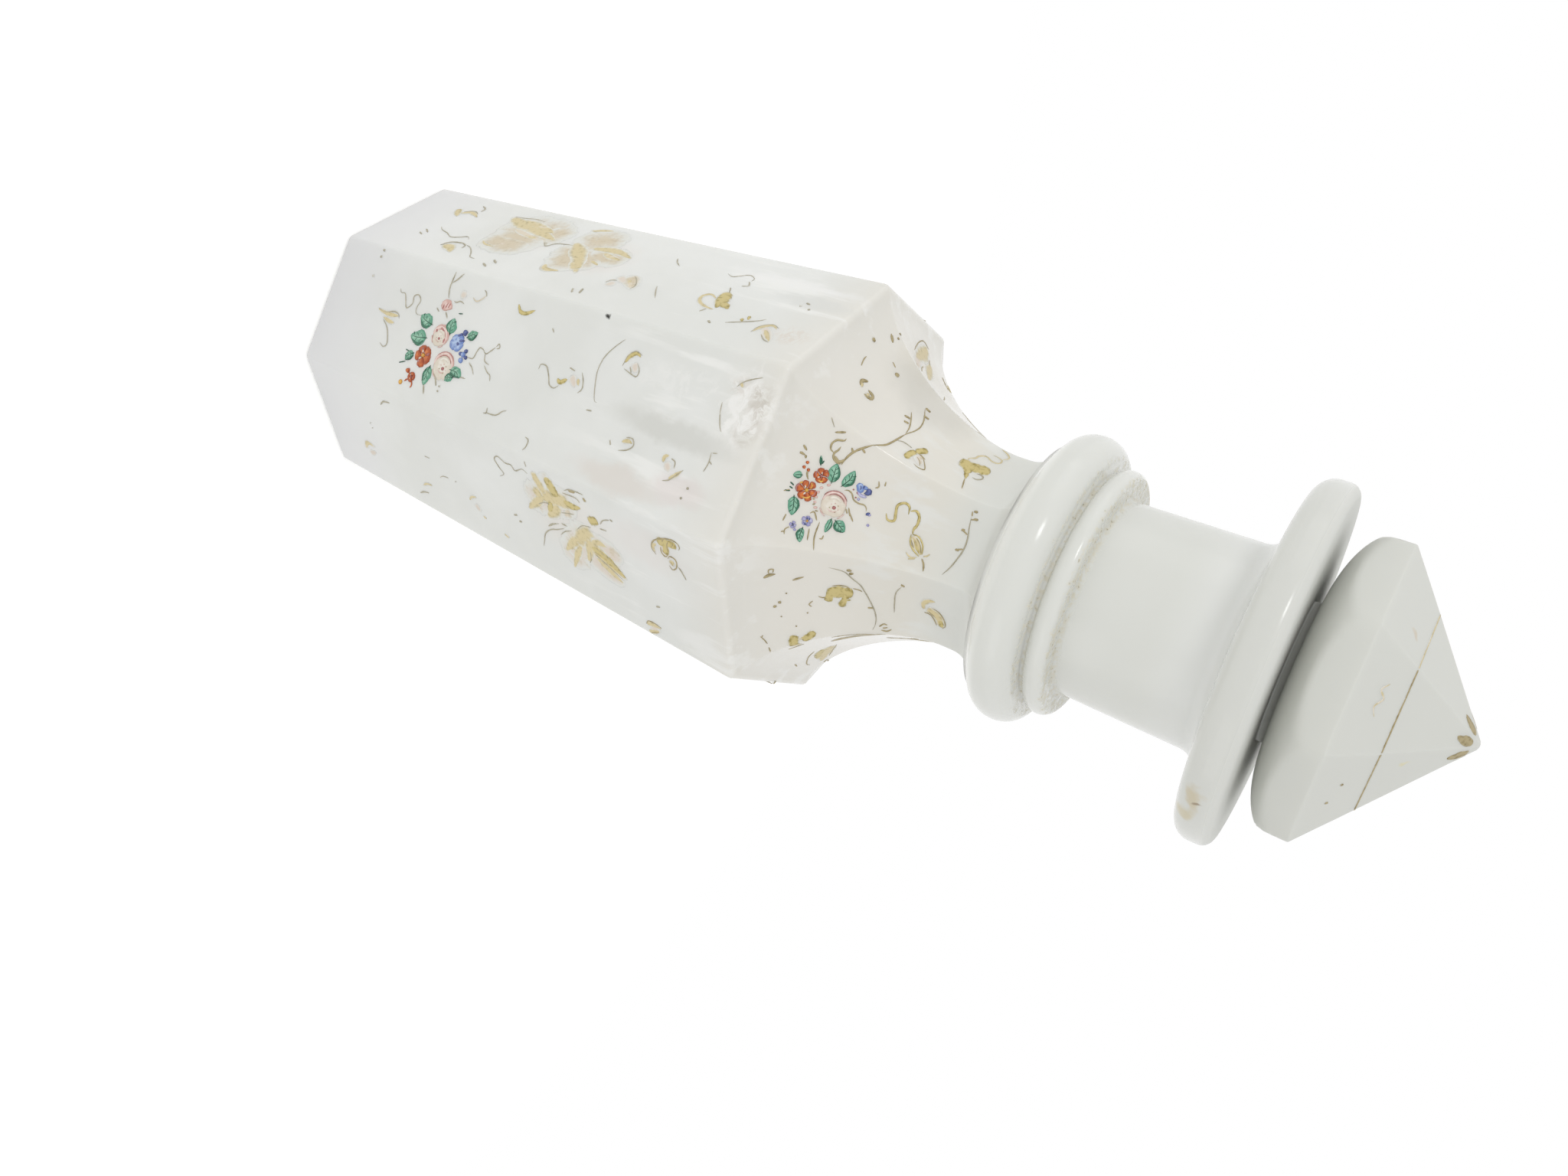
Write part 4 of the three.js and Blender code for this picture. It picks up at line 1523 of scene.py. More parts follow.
BODY_UPPER = """
    WORN 2.3 LEAF .06 .1: 13.8 -7.5, 15 -5.8, 16.7 -3.8;
    WORN 1.8 LEAF .07 .1: 16 -5.6, 18.6 -6.9, 21.8 -5.5;
    PALE .5 TAPER .1 .3: 16.2 -6.4, 18.6 -7.7, 20.6 -6.9 / 18.2 -10.8, 20 -9.8, 20.2 -8.2 / 15 4, 16.9 5.3 /
        14.7 5.8, 16.5 6.7;
    PALE .32: 17.4 1.6, 19 2.8, 21.6 3.6, 23.8 4.7, 26 4, 27.6 3, 29 4 / 30.6 6.2, 32.4 6.8, 34.4 8.4,
        36 10.2, 37.7 10.4;
    WORN 3.2 LEAF .05 .5: 25.2 8.2, 28 8.8, 30 10.6;
    PALE .55: 24.8 8.9, 26 6.8, 28.4 6, 30.4 6.4, 30.9 8;
    PALE .7: 42.1 8.9, 43.9 10.1 / 41 11.1, 42.9 12.2;
    FAINT 15 BRUSH .014 0: 31 -6.4, 37 -5.6, 50 -6.6 / 31.6 -2, 38.6 -1, 47 -1.2;
    FAINT 9 BRUSH .018 .1: 31.6 1.4, 38 2, 45 1.4 / 43 -8.6, 46 -7, 50.4 -5.6;
    WORN 5.6 LEAF .05: 29.6 -9.2, 34 -7.4, 38 -6.8, 43 -5.4, 48.6 -3.6;
    WORN 4 LEAF .06 .4: 34 -8.8, 38.6 -8, 45.4 -6.6;
    WORN 2.4 LEAF .05 .7: 35 -4.6, 39 -3.6, 44.6 -2.4;
    PALE 1.1 LEAF .05 .7: 33.2 3.2, 34.8 4, 37.4 4.3 / 46 -2.6, 47.2 -1.8, 48 -1;
    PALE .3 TAPER .1 .4: 30 -9.6, 32.8 -9.8, 36 -10.5, 39 -10.3 / 46.2 -2.7, 47.9 -.9, 49.4 -2.8, 51.4 -3.4,
        53.8 -3.8;
    WORN 1 LEAF .07 .2: 32.4 2.9, 34.4 4.1, 37.4 4.3;
    FAINT 13 BRUSH .014 0: 54.4 -12.6, 57.6 -8.4, 62 -3.6;
    FAINT 10 BRUSH .018 .05: 53.6 -5, 56.4 0, 58.6 7.4;
    FAINT 9 BRUSH .022 .1: 59.4 -3.8, 64 -2.6, 70 -3.6 / 57 -3, 60.6 .4, 65.6 1.2;
    WORN 5 LEAF .06 .05: 53 -5.4, 56.6 -2, 59.6 1, 63.4 6.4;
    WORN 3.4 BRUSH .05 .3: 59 1.4, 61 3.6, 62.4 5.4;
    WORN 3.4 LEAF .07 .05: 58.4 -4.4, 64.4 -5.4, 70 -4.1;
    WORN 2.4 LEAF .06 .35: 62.4 -3.8, 65.4 -2.8, 68.4 -2.4;
    WORN 2.2 LEAF .06 .3: 54.2 5.4, 55.8 7.4, 59.4 6.8;
    WORN 1.3 LEAF .07 .3: 62.4 .2, 65.4 1.4 / 52.4 -11, 54.6 -12.2, 57.4 -13.2;
    PALE 1.3 LEAF .05 .75: 52 -11.4, 53.4 -11.4, 55.2 -12.4 / 54 6.4, 55.4 7.8, 57 8;
    FAINT 4.4 LEAF .05: 75 1.6, 77 4, 79.2 7;
    WORN 1.5 LEAF .07 .6: 75.9 3.4, 77.2 4.9, 78.7 6.6;
    FAINT 2.6 LEAF .04 .8: 73 3, 76.2 5.2 / 72.4 6, 74.6 7;
    PALE .36 TAPER .1 .4: 75.6 1.6, 77.4 3, 78.8 5.2, 78.6 6.9 / 72 6.6, 72.5 5.3, 73.9 4.8 / 79 -8.5,
        80 -7, 81.7 -5.7 / 83 3.2, 84.4 5.4, 86 7.5;
    PALE .6 TAPER .1 .5: 69.6 10.5, 70.3 12.7 / 67.6 11.4, 68.6 13 / 114.4 -3.8, 115.6 -3.4 / 114.2 -2.2 /
        116.4 -1.7 / 101.2 10, 102.3 10.8;
    GOLD 3.6 LEAF .08 0: 97.6 -1, 98.8 2, 99.6 5.6;
    GOLD 2.6 LEAF .08 .05: 98.4 3.2, 100.4 3.8, 102.2 4.9;
    WORN 1.1 TAPER .07 .1: 97.4 2.4, 95.4 1.4, 94.2 2.6, 94.8 4.4, 97 5.8, 99.6 6.2;
    PALE .38: 98.2 -.8, 97.1 -2.7 / 98.6 -4, 100 -4.7, 99 -6.4 / 98.1 6.4, 97.4 8 / 104.6 9.4, 107.4 7.8,
        110 6.2, 111.3 4.8;
    PALE .26 TAPER .1 .5: 92.8 -7.4, 94.6 -6.6, 96 -7.6, 97.6 -8.6, 99.2 -7.8, 99.4 -6.4;
    GOLD .9 LEAF .1 0: 107.5 5.1, 108.2 6.7 / 106.7 6.5, 107.5 7.7;
    FAINT 2.6 LEAF .03 .9: 112.6 7.4, 114.8 9.8, 116.8 11.6;
    WORN 1.4 LEAF .07 .1: 111.5 9.9, 112 7.8, 113.7 6.4, 115.4 7.3 / 113.2 8.2, 115 10, 116.6 11.7;
    PALE .31: 111.3 10.3, 111.7 7.6, 113.6 6.1, 115.5 6.8 / 113.5 9.9, 115.2 11.4, 116.7 11.9;
"""

BODY_LOWER = """
    WORN 1.6 LEAF .06 .5: 13.4 6.4, 15 4.2, 17.8 4.4;
    FAINT 1.8 LEAF .04 .9: 14.6 7.2, 17.4 6 / 52.6 5.4, 54 7.2;
    PALE .5 TAPER .1 .3: 26.3 -10.6, 28 -12.1, 30.6 -12.7 / 31 12, 33 10.8, 35 10.3;
    PALE .26 TAPER .1 .4: 41.5 3, 43 2, 45 1.7 / 47.4 1.6 / 37.8 -1.4, 39.8 -1.6 / 19.5 -3.2 / 19.5 -1.8;
    PALE .6 TAPER .1 .3: 66 2.4, 67.3 1.8 / 67.3 3.6, 68.3 3.2 / 106.2 7.4, 107.5 6.8;
    WORN .8: 33.6 8.6, 35.4 7.4, 37.4 7.1 / 50.8 5.2, 52 3.8, 53.8 3.1 / 54.4 8, 55.4 8.6 / 60.6 10.2,
        62.2 10.8;
    FAINT 9 BRUSH .014 .6: 72 -5.4, 79 -7.6, 87.4 -10 / 82 8, 86 1, 91 -5 / 77 -13, 80 -11;
    FAINT 6 BRUSH .018 .6: 88 2.6, 93 4, 98.4 5 / 89.6 -2, 95 -1.6, 98 1 / 84 1, 83.6 6;
    WORN 5.2 BRUSH .05 .05: 75.6 -8, 80 -8.6, 86 -9.6;
    WORN 2.9 BRUSH .06 .1: 76 -13.6, 77 -11.4, 78.6 -8.4;
    GOLD 3.4 BRUSH .07: 80.1 -14, 80.8 -12, 82.2 -9.2;
    WORN 4.2 BRUSH .06 .1: 78 -9, 76 -8, 75 -6.8;
    WORN 3 LEAF .06: 78 -8, 75.2 -5.2, 71.8 -2;
    WORN 3.8 LEAF .06 .05: 82.6 -7.6, 80.4 -5.2, 77.6 -2.4;
    GOLD 2.2 LEAF .08 .3: 83.6 -9.4, 86.4 -9.2, 89 -9.9 / 79.8 -7.6, 79.4 -5.8, 78.4 -4;
    FAINT 3 LEAF .05 .2: 84 -8, 84.6 -6.6, 83.2 -5;
    PALE .36: 74.4 -12, 72.8 -12.6, 70.4 -11.2, 69.4 -12.2, 67.6 -12, 65.6 -12.8, 64.2 -11.6, 65.2 -9.8,
        66.2 -8.6, 64.4 -7.2 / 74.2 -15.2, 74.4 -13.8 / 84.6 -12.4, 87 -13.6, 90.6 -13.9 / 84 -11.6, 88 -12,
        89 -11 / 75.4 -4.8, 77.6 -6.2, 80 -6.8 / 82.4 -5.8, 84.6 -6.6, 86.6 -7.2;
    UMBER 1 TAPER .08 0: 86 -13, 88.2 -13.6 / 90.2 -13.2, 90.9 -12.2;
    WORN 4.8 BRUSH .06 0: 91 -5.2, 87.8 -2.4, 85.6 1.2;
    WORN 4.6 LEAF .06 .05: 87.6 -1.6, 93 .8, 99.2 4.2;
    GOLD 3 LEAF .08: 89.4 -.6, 94 1, 99 3.9;
    WORN 3.2 LEAF .06 .1: 87.4 -1.6, 84 1.6, 81.2 5 / 88.8 -1.6, 89 1.6, 88 4.8;
    WORN 2.4 LEAF .05 .25: 87 .4, 84.8 4.4, 82.8 9 / 90.6 2, 94.4 4, 98 5.8 / 90 -1.2, 92.4 -2.6, 95 -2.4;
    GOLD 2.7 BRUSH .06 .2: 90.4 -7.2, 93.4 -8.8;
    PALE .6 LEAF .06 .5: 77 .4, 79 -1.2, 81 -2.2 / 81.6 -2.6, 83.6 -2.7;
    PALE .31: 90.6 -.8, 94.4 .6, 98.2 2.6 / 90.4 1.2, 94 2.8, 98.2 4.8 / 86.2 -3, 88.4 -5.2, 91 -5.9 /
        80.6 1, 82.4 -.8, 84.6 -2 / 88.2 5, 89 3.4, 89.2 1;
    PALE .36 TAPER .1 .4: 82.4 -1.6, 80 -.2, 77.6 1, 75.6 3, 74.6 5.6, 73.9 7.4 / 93.8 -8, 95 -9.6,
        97 -10.6 / 93.4 -6.8, 95.6 -7.2;
    GOLD 2.3 BRUSH .07 0: 109.2 -11.2, 111.6 -12.1, 114.7 -12.5;
    GOLD 2.1 BRUSH .08 0: 111.3 -12, 111.6 -10.4, 111.1 -8.7;
    WORN 1.3 LEAF .07 .1: 109.2 -10.6, 108.2 -9.6, 108.6 -8;
    WORN 1.7 BRUSH .07 .1: 112.1 -8.1, 113.3 -7;
    UMBER .4 TAPER .12 0: 108.8 -7.6, 107.8 -8.8, 108.2 -10.6, 110 -12.2, 112.6 -13.4, 114.6 -13.5,
        115.3 -12.6, 114.8 -11.6;
    UMBER .32 TAPER .12: 111.4 -13, 110.8 -11.8 / 112.6 -13, 112 -11.4, 112.2 -9.6 / 113.8 -12.8,
        113.2 -11.8 / 110.3 -10.6, 110.3 -9, 111.2 -8.4, 112 -9.2;
    UMBER .36 TAPER .12: 111.6 -8, 112.4 -9, 113.6 -8.9, 114 -8, 113.6 -6.6, 112.6 -5.8, 111.8 -6.6 /
        112.4 -7.8, 113 -6.8;
    PALE .5: 114.2 -7.4, 115.2 -6.2, 116 -4.7 / 97 -10.8, 97.8 -10.6;
    WORN 1.6 LEAF .07 .2: 102.4 14.2, 104.6 13.4, 106.9 13.5 / 102.8 16.2, 104.6 15.4, 106.2 14.4;
    UMBER .34: 102.4 14.4, 103.2 13.1, 105 12.8, 107 13.2 / 103.4 16.4, 104.8 15.4, 106 15;
    FAINT 2.6 LEAF .03 .85: 109.4 -10.4, 112.8 -8.6 / 103.4 14.8, 106.6 14.4;
"""

SHOULDER_FRONT = """
    UMBER .42 TAPER .14: 131.5 -.2, 131 -1.2, 131 -2.4;
    ORANGE .7 TAPER .14: 130.5 -3.1 / 130.3 -2.1 / 131 -1.9;
    YELLOW .4 TAPER .3: 131.9 -.1, 132.3 .6, 132.1 1.3 / 132.7 2.2, 132.2 2.9, 131.3 3.1 / 130.5 1,
        130.9 .4 / 133.6 -1.2, 133.2 -.8, 132.6 -.9;
    CARMINE .36 TAPER .3: 130.6 2.6, 130.3 1.6, 130.8 .6 / 133 .9, 133 1.8, 132.6 2.6 / 132.4 -2.6,
        132.1 -1.9, 132.5 -1.2 / 133.7 -2.6, 133.9 -1.9;
    PINK .55 TAPER .14: 133.4 .4, 133.9 0 / 133.2 1.3, 133.7 1 / 133.2 2.2, 133.7 2 / 133.3 3.1, 133.8 3 /
        133.6 4.1, 134.2 3.8 / 134.2 -.6, 134.8 -.9;
    UMBER .3: 133.3 3.6, 133.7 3.4 / 133 2.7, 133.4 2.5 / 134 4.5, 134.5 4.4;
    VEIN .34: 129.3 1.3, 130 1.7 / 129 3.1, 129.8 2.8 / 129.4 2.1, 130 2.3 / 131.8 -5, 132.2 -4.2,
        132.3 -3.5 / 132.6 -4.6, 132.4 -3.8;
    UMBER .7 TAPER .14 0: 133.7 -6.2, 134.3 -5.5, 134.9 -5.5, 135.3 -6.3;
    UMBER .34: 158.7 -6, 159 -5 / 159 -4.4, 160 -4.8 / 158.2 -2.2, 159.6 -1.6 / 158.4 1.6, 159.9 1;
    UMBER .52: 135.1 -4.9, 135.4 -6.4, 136 -7.8, 137 -9.1, 138.8 -10.8;
    UMBER .5: 135.1 -5.1, 134.4 -5.1, 133.7 -5.6, 133.5 -6.5, 133.9 -7.3, 134.1 -8.2 / 133.5 -6.5, 132.8 -7,
        132.7 -8, 133.2 -8.9, 134.2 -9.3, 134.4 -9.9 / 137.2 -9.2, 137.9 -8.6 / 135.6 -8.7, 136.1 -7.9 /
        132.4 -10, 134.1 -10.9;
    UMBER .62 LEAF: 129.1 -5.8, 129.9 -5 / 129 -4.3, 129.9 -4.2 / 129.9 -4.3, 130.1 -3.6;
    PALE .26: 131.2 -12.4, 131.8 -11.4, 132.2 -10.8;
    UMBER .36: 136.9 -.9, 137.6 -1.2, 138.3 -.9, 138.9 0, 139.8 .3, 140.8 .2, 141.3 .6, 141.5 1.3;
    CARMINE .36: 138.9 -1.5, 139.3 -1.2 / 139.1 -.5 / 138.3 -1.7;
    UMBER .34: 141.5 -5, 141.9 -3.9, 141.3 -3.4 / 142.7 -5.3, 142.8 -4.3 / 139 2.4, 140.2 3.9 / 138.6 1.6,
        139.4 3.2 / 138.3 2, 138.8 2.9;
    UMBER .3: 128.9 3.3, 129.7 2.6 / 131.5 8.9, 131 9.7, 131.2 10.7 / 131 10, 130.6 10.4;
    UMBER .34: 134.2 7.8, 134.6 10.2 / 135.3 6, 135.4 9, 136.1 11.5 / 136.6 8, 136.6 8.8, 136.1 9 /
        130.4 6.9, 130.3 8.5 / 133.4 5.4, 134 4.8, 134.9 6.2;
    GOLD .7 TAPER .09 0: 144.6 -.1, 145.3 1.1, 146.4 .8, 146.2 -.5, 146 -2, 147 -2.9, 148 -2.5, 148.3 -1 /
        148.3 -1.8, 149.3 -2.3, 150.2 -1.5, 150.4 0, 150.1 1, 150.3 2.1;
    WORN 2 LEAF .05 .45: 150.2 1.8, 151.7 3.4, 153.2 5.1;
    GOLD .42 TAPER .12 0: 150.1 1.9, 151.4 1.9, 152.6 3, 153.2 4.8 / 150 1.8, 150.4 3.4, 151.4 4.5,
        152.9 5.3 / 150.6 2.3, 151.6 3.6, 152.7 4.8;
    UMBER .26 TAPER .13: 151 2.1, 152.2 3.2, 153 4.8 / 150.3 2.8, 151.4 4.2 / 150.9 2.6, 151.9 3.8;
    UMBER .42: 153.3 5.3, 154.1 6.3, 154.5 7.6;
    WORN .4 TAPER .1 .4: 150.2 5.3, 151.4 5.9, 152.6 5.5 / 153.4 5, 154.1 4.6, 154.5 4 / 151 6.4, 152.4 5.8;
    PALE .38 TAPER .1 0: 158.9 -5, 159.3 -3, 159.8 -1, 159.9 .8, 159.6 2.5, 158.8 5, 157.8 6.9;
    UMBER .6: 158.9 -6, 159.8 -6.1 / 159.4 -4.7, 160.4 -4.8 / 158 -2.1, 158.8 -2.3 / 158.3 1.6, 159.2 1.5;
"""

SHOULDER_UPPER = """
    UMBER .5 TAPER .1 0: 138.6 11.2, 139.9 9.2, 140.4 7.4, 140.8 5, 141 3.6;
    UMBER .34: 140.8 4.6, 141.2 3, 141.8 1, 141.9 -.8, 141.4 -2.8, 140.2 -5.2 / 141 3.6, 140.7 1.6, 140 -.2,
        139 -2.1;
    UMBER .62 BRUSH .1 0: 140.9 -3.4, 142.1 -3.6 / 140.2 -5.4, 141.4 -5.3 / 138.6 0, 139.8 -.4 / 139.2 1.2,
        140.2 .8;
    PALE .3: 140.8 6.2, 141.8 5.4, 143.6 5.2;
    UMBER .34: 128.6 -2.8, 128.7 -1.5, 129.1 .1 / 128.5 -12, 129 -11 / 131.4 -7.6, 132.4 -7.2;
    UMBER .95 LEAF .1 0: 128.6 -11.9, 129.2 -11.2, 129.6 -10.7;
    UMBER .6: 129.6 -12.8 / 129.3 -14;
    GOLD 1.75 BRUSH .08 0: 145.9 3.1, 145.1 4.2, 144.2 5.6;
    GOLD 1.6 BRUSH .09 0: 144.5 5.2, 143.9 6.8, 143.8 8.5;
    FAINT 2.4 LEAF .05 .35: 144.8 5.4, 146.8 7.6;
    UMBER .26: 144.6 5.4, 145.8 5.5, 146.8 6.4, 147.6 7.8, 146.4 8.3, 145.4 8.1 / 145 6.2, 146 6.8,
        146.6 7.8 / 145.2 5.2, 146.6 5.6;
    GOLD 3.1 BRUSH .09 0: 150.9 .7, 153 .5, 155 -.1, 157.2 -.7;
    GOLD 1.9 BRUSH .1 0: 151.6 .8, 153 1.4, 154 2.6;
    GOLD 1.1 LEAF .09 0: 153.2 1.8, 153.8 3, 154.2 4.2;
    UMBER .34: 154 3.8, 154.5 5.4, 155 7;
    PALE .42 TAPER .1 .1: 155 1.4, 156.3 1.3, 156.6 2.1, 155.8 2.9, 154.9 2.8;
    WORN .5 TAPER .1 0: 152.4 -.2, 152.1 -1.2, 153 -2.2, 153.2 -3.1, 154.3 -4, 155.8 -3.5, 157 -3.8,
        157.2 -4.8, 156.2 -5.3, 155 -5.3 / 157 -5, 157.9 -6.3, 157 -7.3, 155.5 -7.9;
    UMBER .95 TAPER .1 0: 131.3 .8, 130.6 2.1, 131 3.3 / 132 2.3, 133.2 2.5, 133.2 3.4, 132 3.9;
    WORN .9 LEAF .12: 130.8 2.2, 131.2 3.4 / 132.2 3.4, 133 3;
    UMBER 1.1 TAPER .1 0: 127.7 -6.7 / 133.3 -6.2;
"""

SHOULDER_LOWER = """
    GOLD 3.6 BRUSH .08 0: 137.7 -1, 140 -1.1, 142.6 -.9;
    GOLD 1.9 BRUSH .08 0: 141.3 -1, 140.9 .6, 140.2 2.9 / 138.6 -1.6, 138.4 0, 138 1.6;
    GOLD 1.5 BRUSH .08 0: 141.2 -1.8, 142 -2 / 141.4 .4, 141.6 1.2;
    UMBER .3: 138.7 -2.7, 140 -2.9, 141.2 -2.7, 142 -2 / 138.3 1.1, 137.6 .3, 137.2 .3, 136.5 -.1 /
        142.2 -2.3, 143.4 -2, 144 -1.5;
    PALE .34 TAPER .1 .1: 138.2 -7.4, 139.5 -7, 141 -6.3, 142.2 -4.8, 143.5 -3.4, 144.4 -1.6, 145.3 .6,
        146.1 3, 146.4 5, 146.2 7, 145.7 8.4;
    UMBER .8 LEAF .1 0: 141.2 -6.9, 142.2 -6.7 / 141.6 -5.9, 142.5 -6.1;
    UMBER .55 BRUSH: 144.8 2.4, 146 2.3 / 150.7 -4.8, 151.5 -4.4;
    PALE .32 TAPER .1 .2: 151 -4.4, 150.2 -3.2, 149.8 -2, 149.7 0, 149.7 2.8;
    UMBER .3: 135.8 1, 135.1 2, 135.6 2.7 / 127.9 8.7, 128.4 10, 128.8 11.4 / 128.9 12.2, 129.1 13.8 /
        128 9.2, 128.3 8.6;
    UMBER .62 LEAF: 132.7 -4.5, 133.6 -4.9, 134.6 -5.2;
    UMBER 1 LEAF .1 0: 128.8 -6.1, 129.6 -6.6, 130.6 -6.6;
    UMBER .36: 129.6 -6.8, 129.6 -7.9, 130.2 -7.9, 130.1 -6.9;
    UMBER .75 TAPER .1 0: 130.8 .7 / 130.1 1.6;
    UMBER .36: 130.9 4.5 / 131.8 -1.4 / 134.8 4.2 / 133 7.6;
    WORN 1.4 LEAF .09 0: 155.3 .2, 155.1 -1.2, 156 -2.3, 157.6 -2.6;
    WORN 2.3 BRUSH .07 .3: 155.7 -.4, 157.4 .4, 158.6 1.8, 158.7 3.4;
    GOLD 1.5 BRUSH .09 0: 158.2 1.6, 158.9 2.4, 158.6 3.4;
    UMBER .3 TAPER .12: 155.2 .8, 156.6 1, 157.5 2.2, 158 3.4 / 156.4 -.9, 158 -.4, 159.3 1, 159.7 2.6,
        159 3.6 / 156 .2, 157.6 1.2;
    UMBER .4: 146.9 7.2, 147.8 6.2, 148.6 6.4 / 149.4 7.2, 148.4 8, 147.2 7.9 / 147.6 7.4, 148.6 6.9;
    GOLD 2.5 BRUSH .08 0: 132.7 9.8, 132.4 12, 132.7 14.4;
    GOLD 2 BRUSH .08 0: 135.8 9.1, 135 10.5, 133.7 11.8;
    WORN .5 BRUSH .08 0: 133.2 11.2, 134.2 11.2;
    UMBER 1.2 LEAF .09 0: 138 12.2, 141 10.9, 144.6 10, 148.4 9;
    UMBER .3: 130.6 16.4, 131.8 15.6, 133.4 14.7 / 131.4 16, 132.6 15.2;
"""

SHOULDER_SIDE = """
    WORN 4.4 LEAF .08 .05: 134.8 .8, 132 4.6, 128.8 11.8;
    GOLD 2.6 LEAF .1 .1: 132.6 1.4, 130.6 5, 129.2 8.6;
    UMBER .4: 131.4 .6, 129.4 3.2, 127.8 7.2, 127.6 9.6 / 135.2 1.2, 133 5.4, 130.6 10.4 / 127.4 2.4,
        127.2 3.6, 127 5 / 129.6 12.6, 128.6 13.6;
    UMBER 3 LEAF .09 0: 136 -4.4, 140.6 -6.2, 147 -7.8;
    UMBER .4: 145 0, 147 1.4, 149.4 1, 151.6 2.6, 154 2 / 149.4 1, 150.6 -1, 152.4 -1.6;
    WORN 1.2 LEAF .08: 152.8 -1.8, 154.8 -2.6, 155.8 -1 / 154.6 2, 156.6 2.8, 157.2 1.4;
"""

SHOULDER_OTHER_SIDE = """
    WORN 4.8 LEAF .08 .05: 127.4 -5.6, 129.2 0, 131.6 7.8;
    WORN 3.4 LEAF .07: 130.2 -3.6, 132.8 1.8, 136 7.8;
    FAINT 3.6 LEAF .05 .5: 131 5, 132.6 8.6, 134.6 11.6;
    UMBER .35: 127.4 -6.2, 126.8 -3.4, 127.4 0, 128.8 3.8, 130 6.4 / 129.2 -4, 130.6 -2.2 / 132.4 4.6,
        133.4 7.4, 134.8 9.8 / 138 2, 139.4 5, 141 9;
    UMBER .4: 146 -1, 148 .6, 150.4 0, 152.6 1.8, 155 1.2 / 150.4 0, 151.4 -2, 153.2 -2.4;
"""

BODY_BOUQUET = """
    BLUE 3.5 BRUSH .2: 43.6 .9, 45.2 -.6, 46.8 -2.2;
    BLUE 1.9 LEAF .24: 43.8 -.4, 45.4 -2.2 / 45 1.2, 47.4 -.6;
    CARMINE .8 LEAF .27: 39.4 -2.4, 40.8 -1.8 / 41.7 -.5, 41.5 .8 / 38.4 -1.8, 38.6 -1;
    NAVY .8 LEAF .3: 45 -1.8, 46.4 -2.8 / 45.8 -1, 47.4 -1.4 / 45.4 -.6, 46.4 .1;
    NAVY 1.4 LEAF .28: 46.1 -2.7, 47.4 -3.4;
    NAVY .95 TAPER .22: 47.5 1.4 / 48.8 .5 / 49.3 1.8;
    BLUE 1.3 TAPER .18: 48.2 2.7 / 48.3 1.4;
    CARMINE .9 LEAF .3: 36.3 3.6, 36.7 2.9 / 38.3 4.4, 38.9 3.6 / 36.2 5.7, 36.9 6.4;
    ORANGE 1.2 TAPER .2: 34.3 8.8;
    ORANGE .4 TAPER .14: 34.6 9, 35.4 9.5 / 36 9.9, 35 10.6, 34.2 11.3 / 36.4 10.6, 36.9 11.4, 36.6 12.2;
    YELLOW 1.2: 33.3 11.7;
    PINK 2.9 LEAF .2: 36.8 -6.6, 38.6 -7.2, 40.4 -6.8;
    CARMINE .5 LEAF .28: 38.6 -6.4, 39 -8 / 39.3 -6.6, 39.6 -7.9 / 37.8 -6, 38 -7.4;
    FAINT 1.9 TAPER .06 .9: 42.2 -10.4;
"""

SHOULDER_BOUQUET = """
    BLUE 1.5 BRUSH .2: 138.7 -3.3, 139.3 -2.3, 139.9 -1.9 / 139.9 -3.2, 139.9 -2.4;
    NAVY 1.2 LEAF .26: 140.3 -2.9, 140.8 -2.2, 140 -1.7;
    NAVY .4 LEAF .3: 139 -3.1, 139.3 -2.4, 139.2 -1.9 / 139.8 -3.2, 139.6 -2.4;
    VIOLET .7 TAPER .16: 138.9 -1.8, 139.7 -1.2, 140.8 -1.3;
    NAVY .6 LEAF .26: 141.6 1.8, 142.2 1.1 / 133.2 6.2, 133.9 6.4 / 133 7.2, 133.6 7.6;
    VIOLET .6: 141.9 1.6, 142.5 1.5 / 139.6 -.4 / 142.6 3.4 / 132.3 9.1;
"""


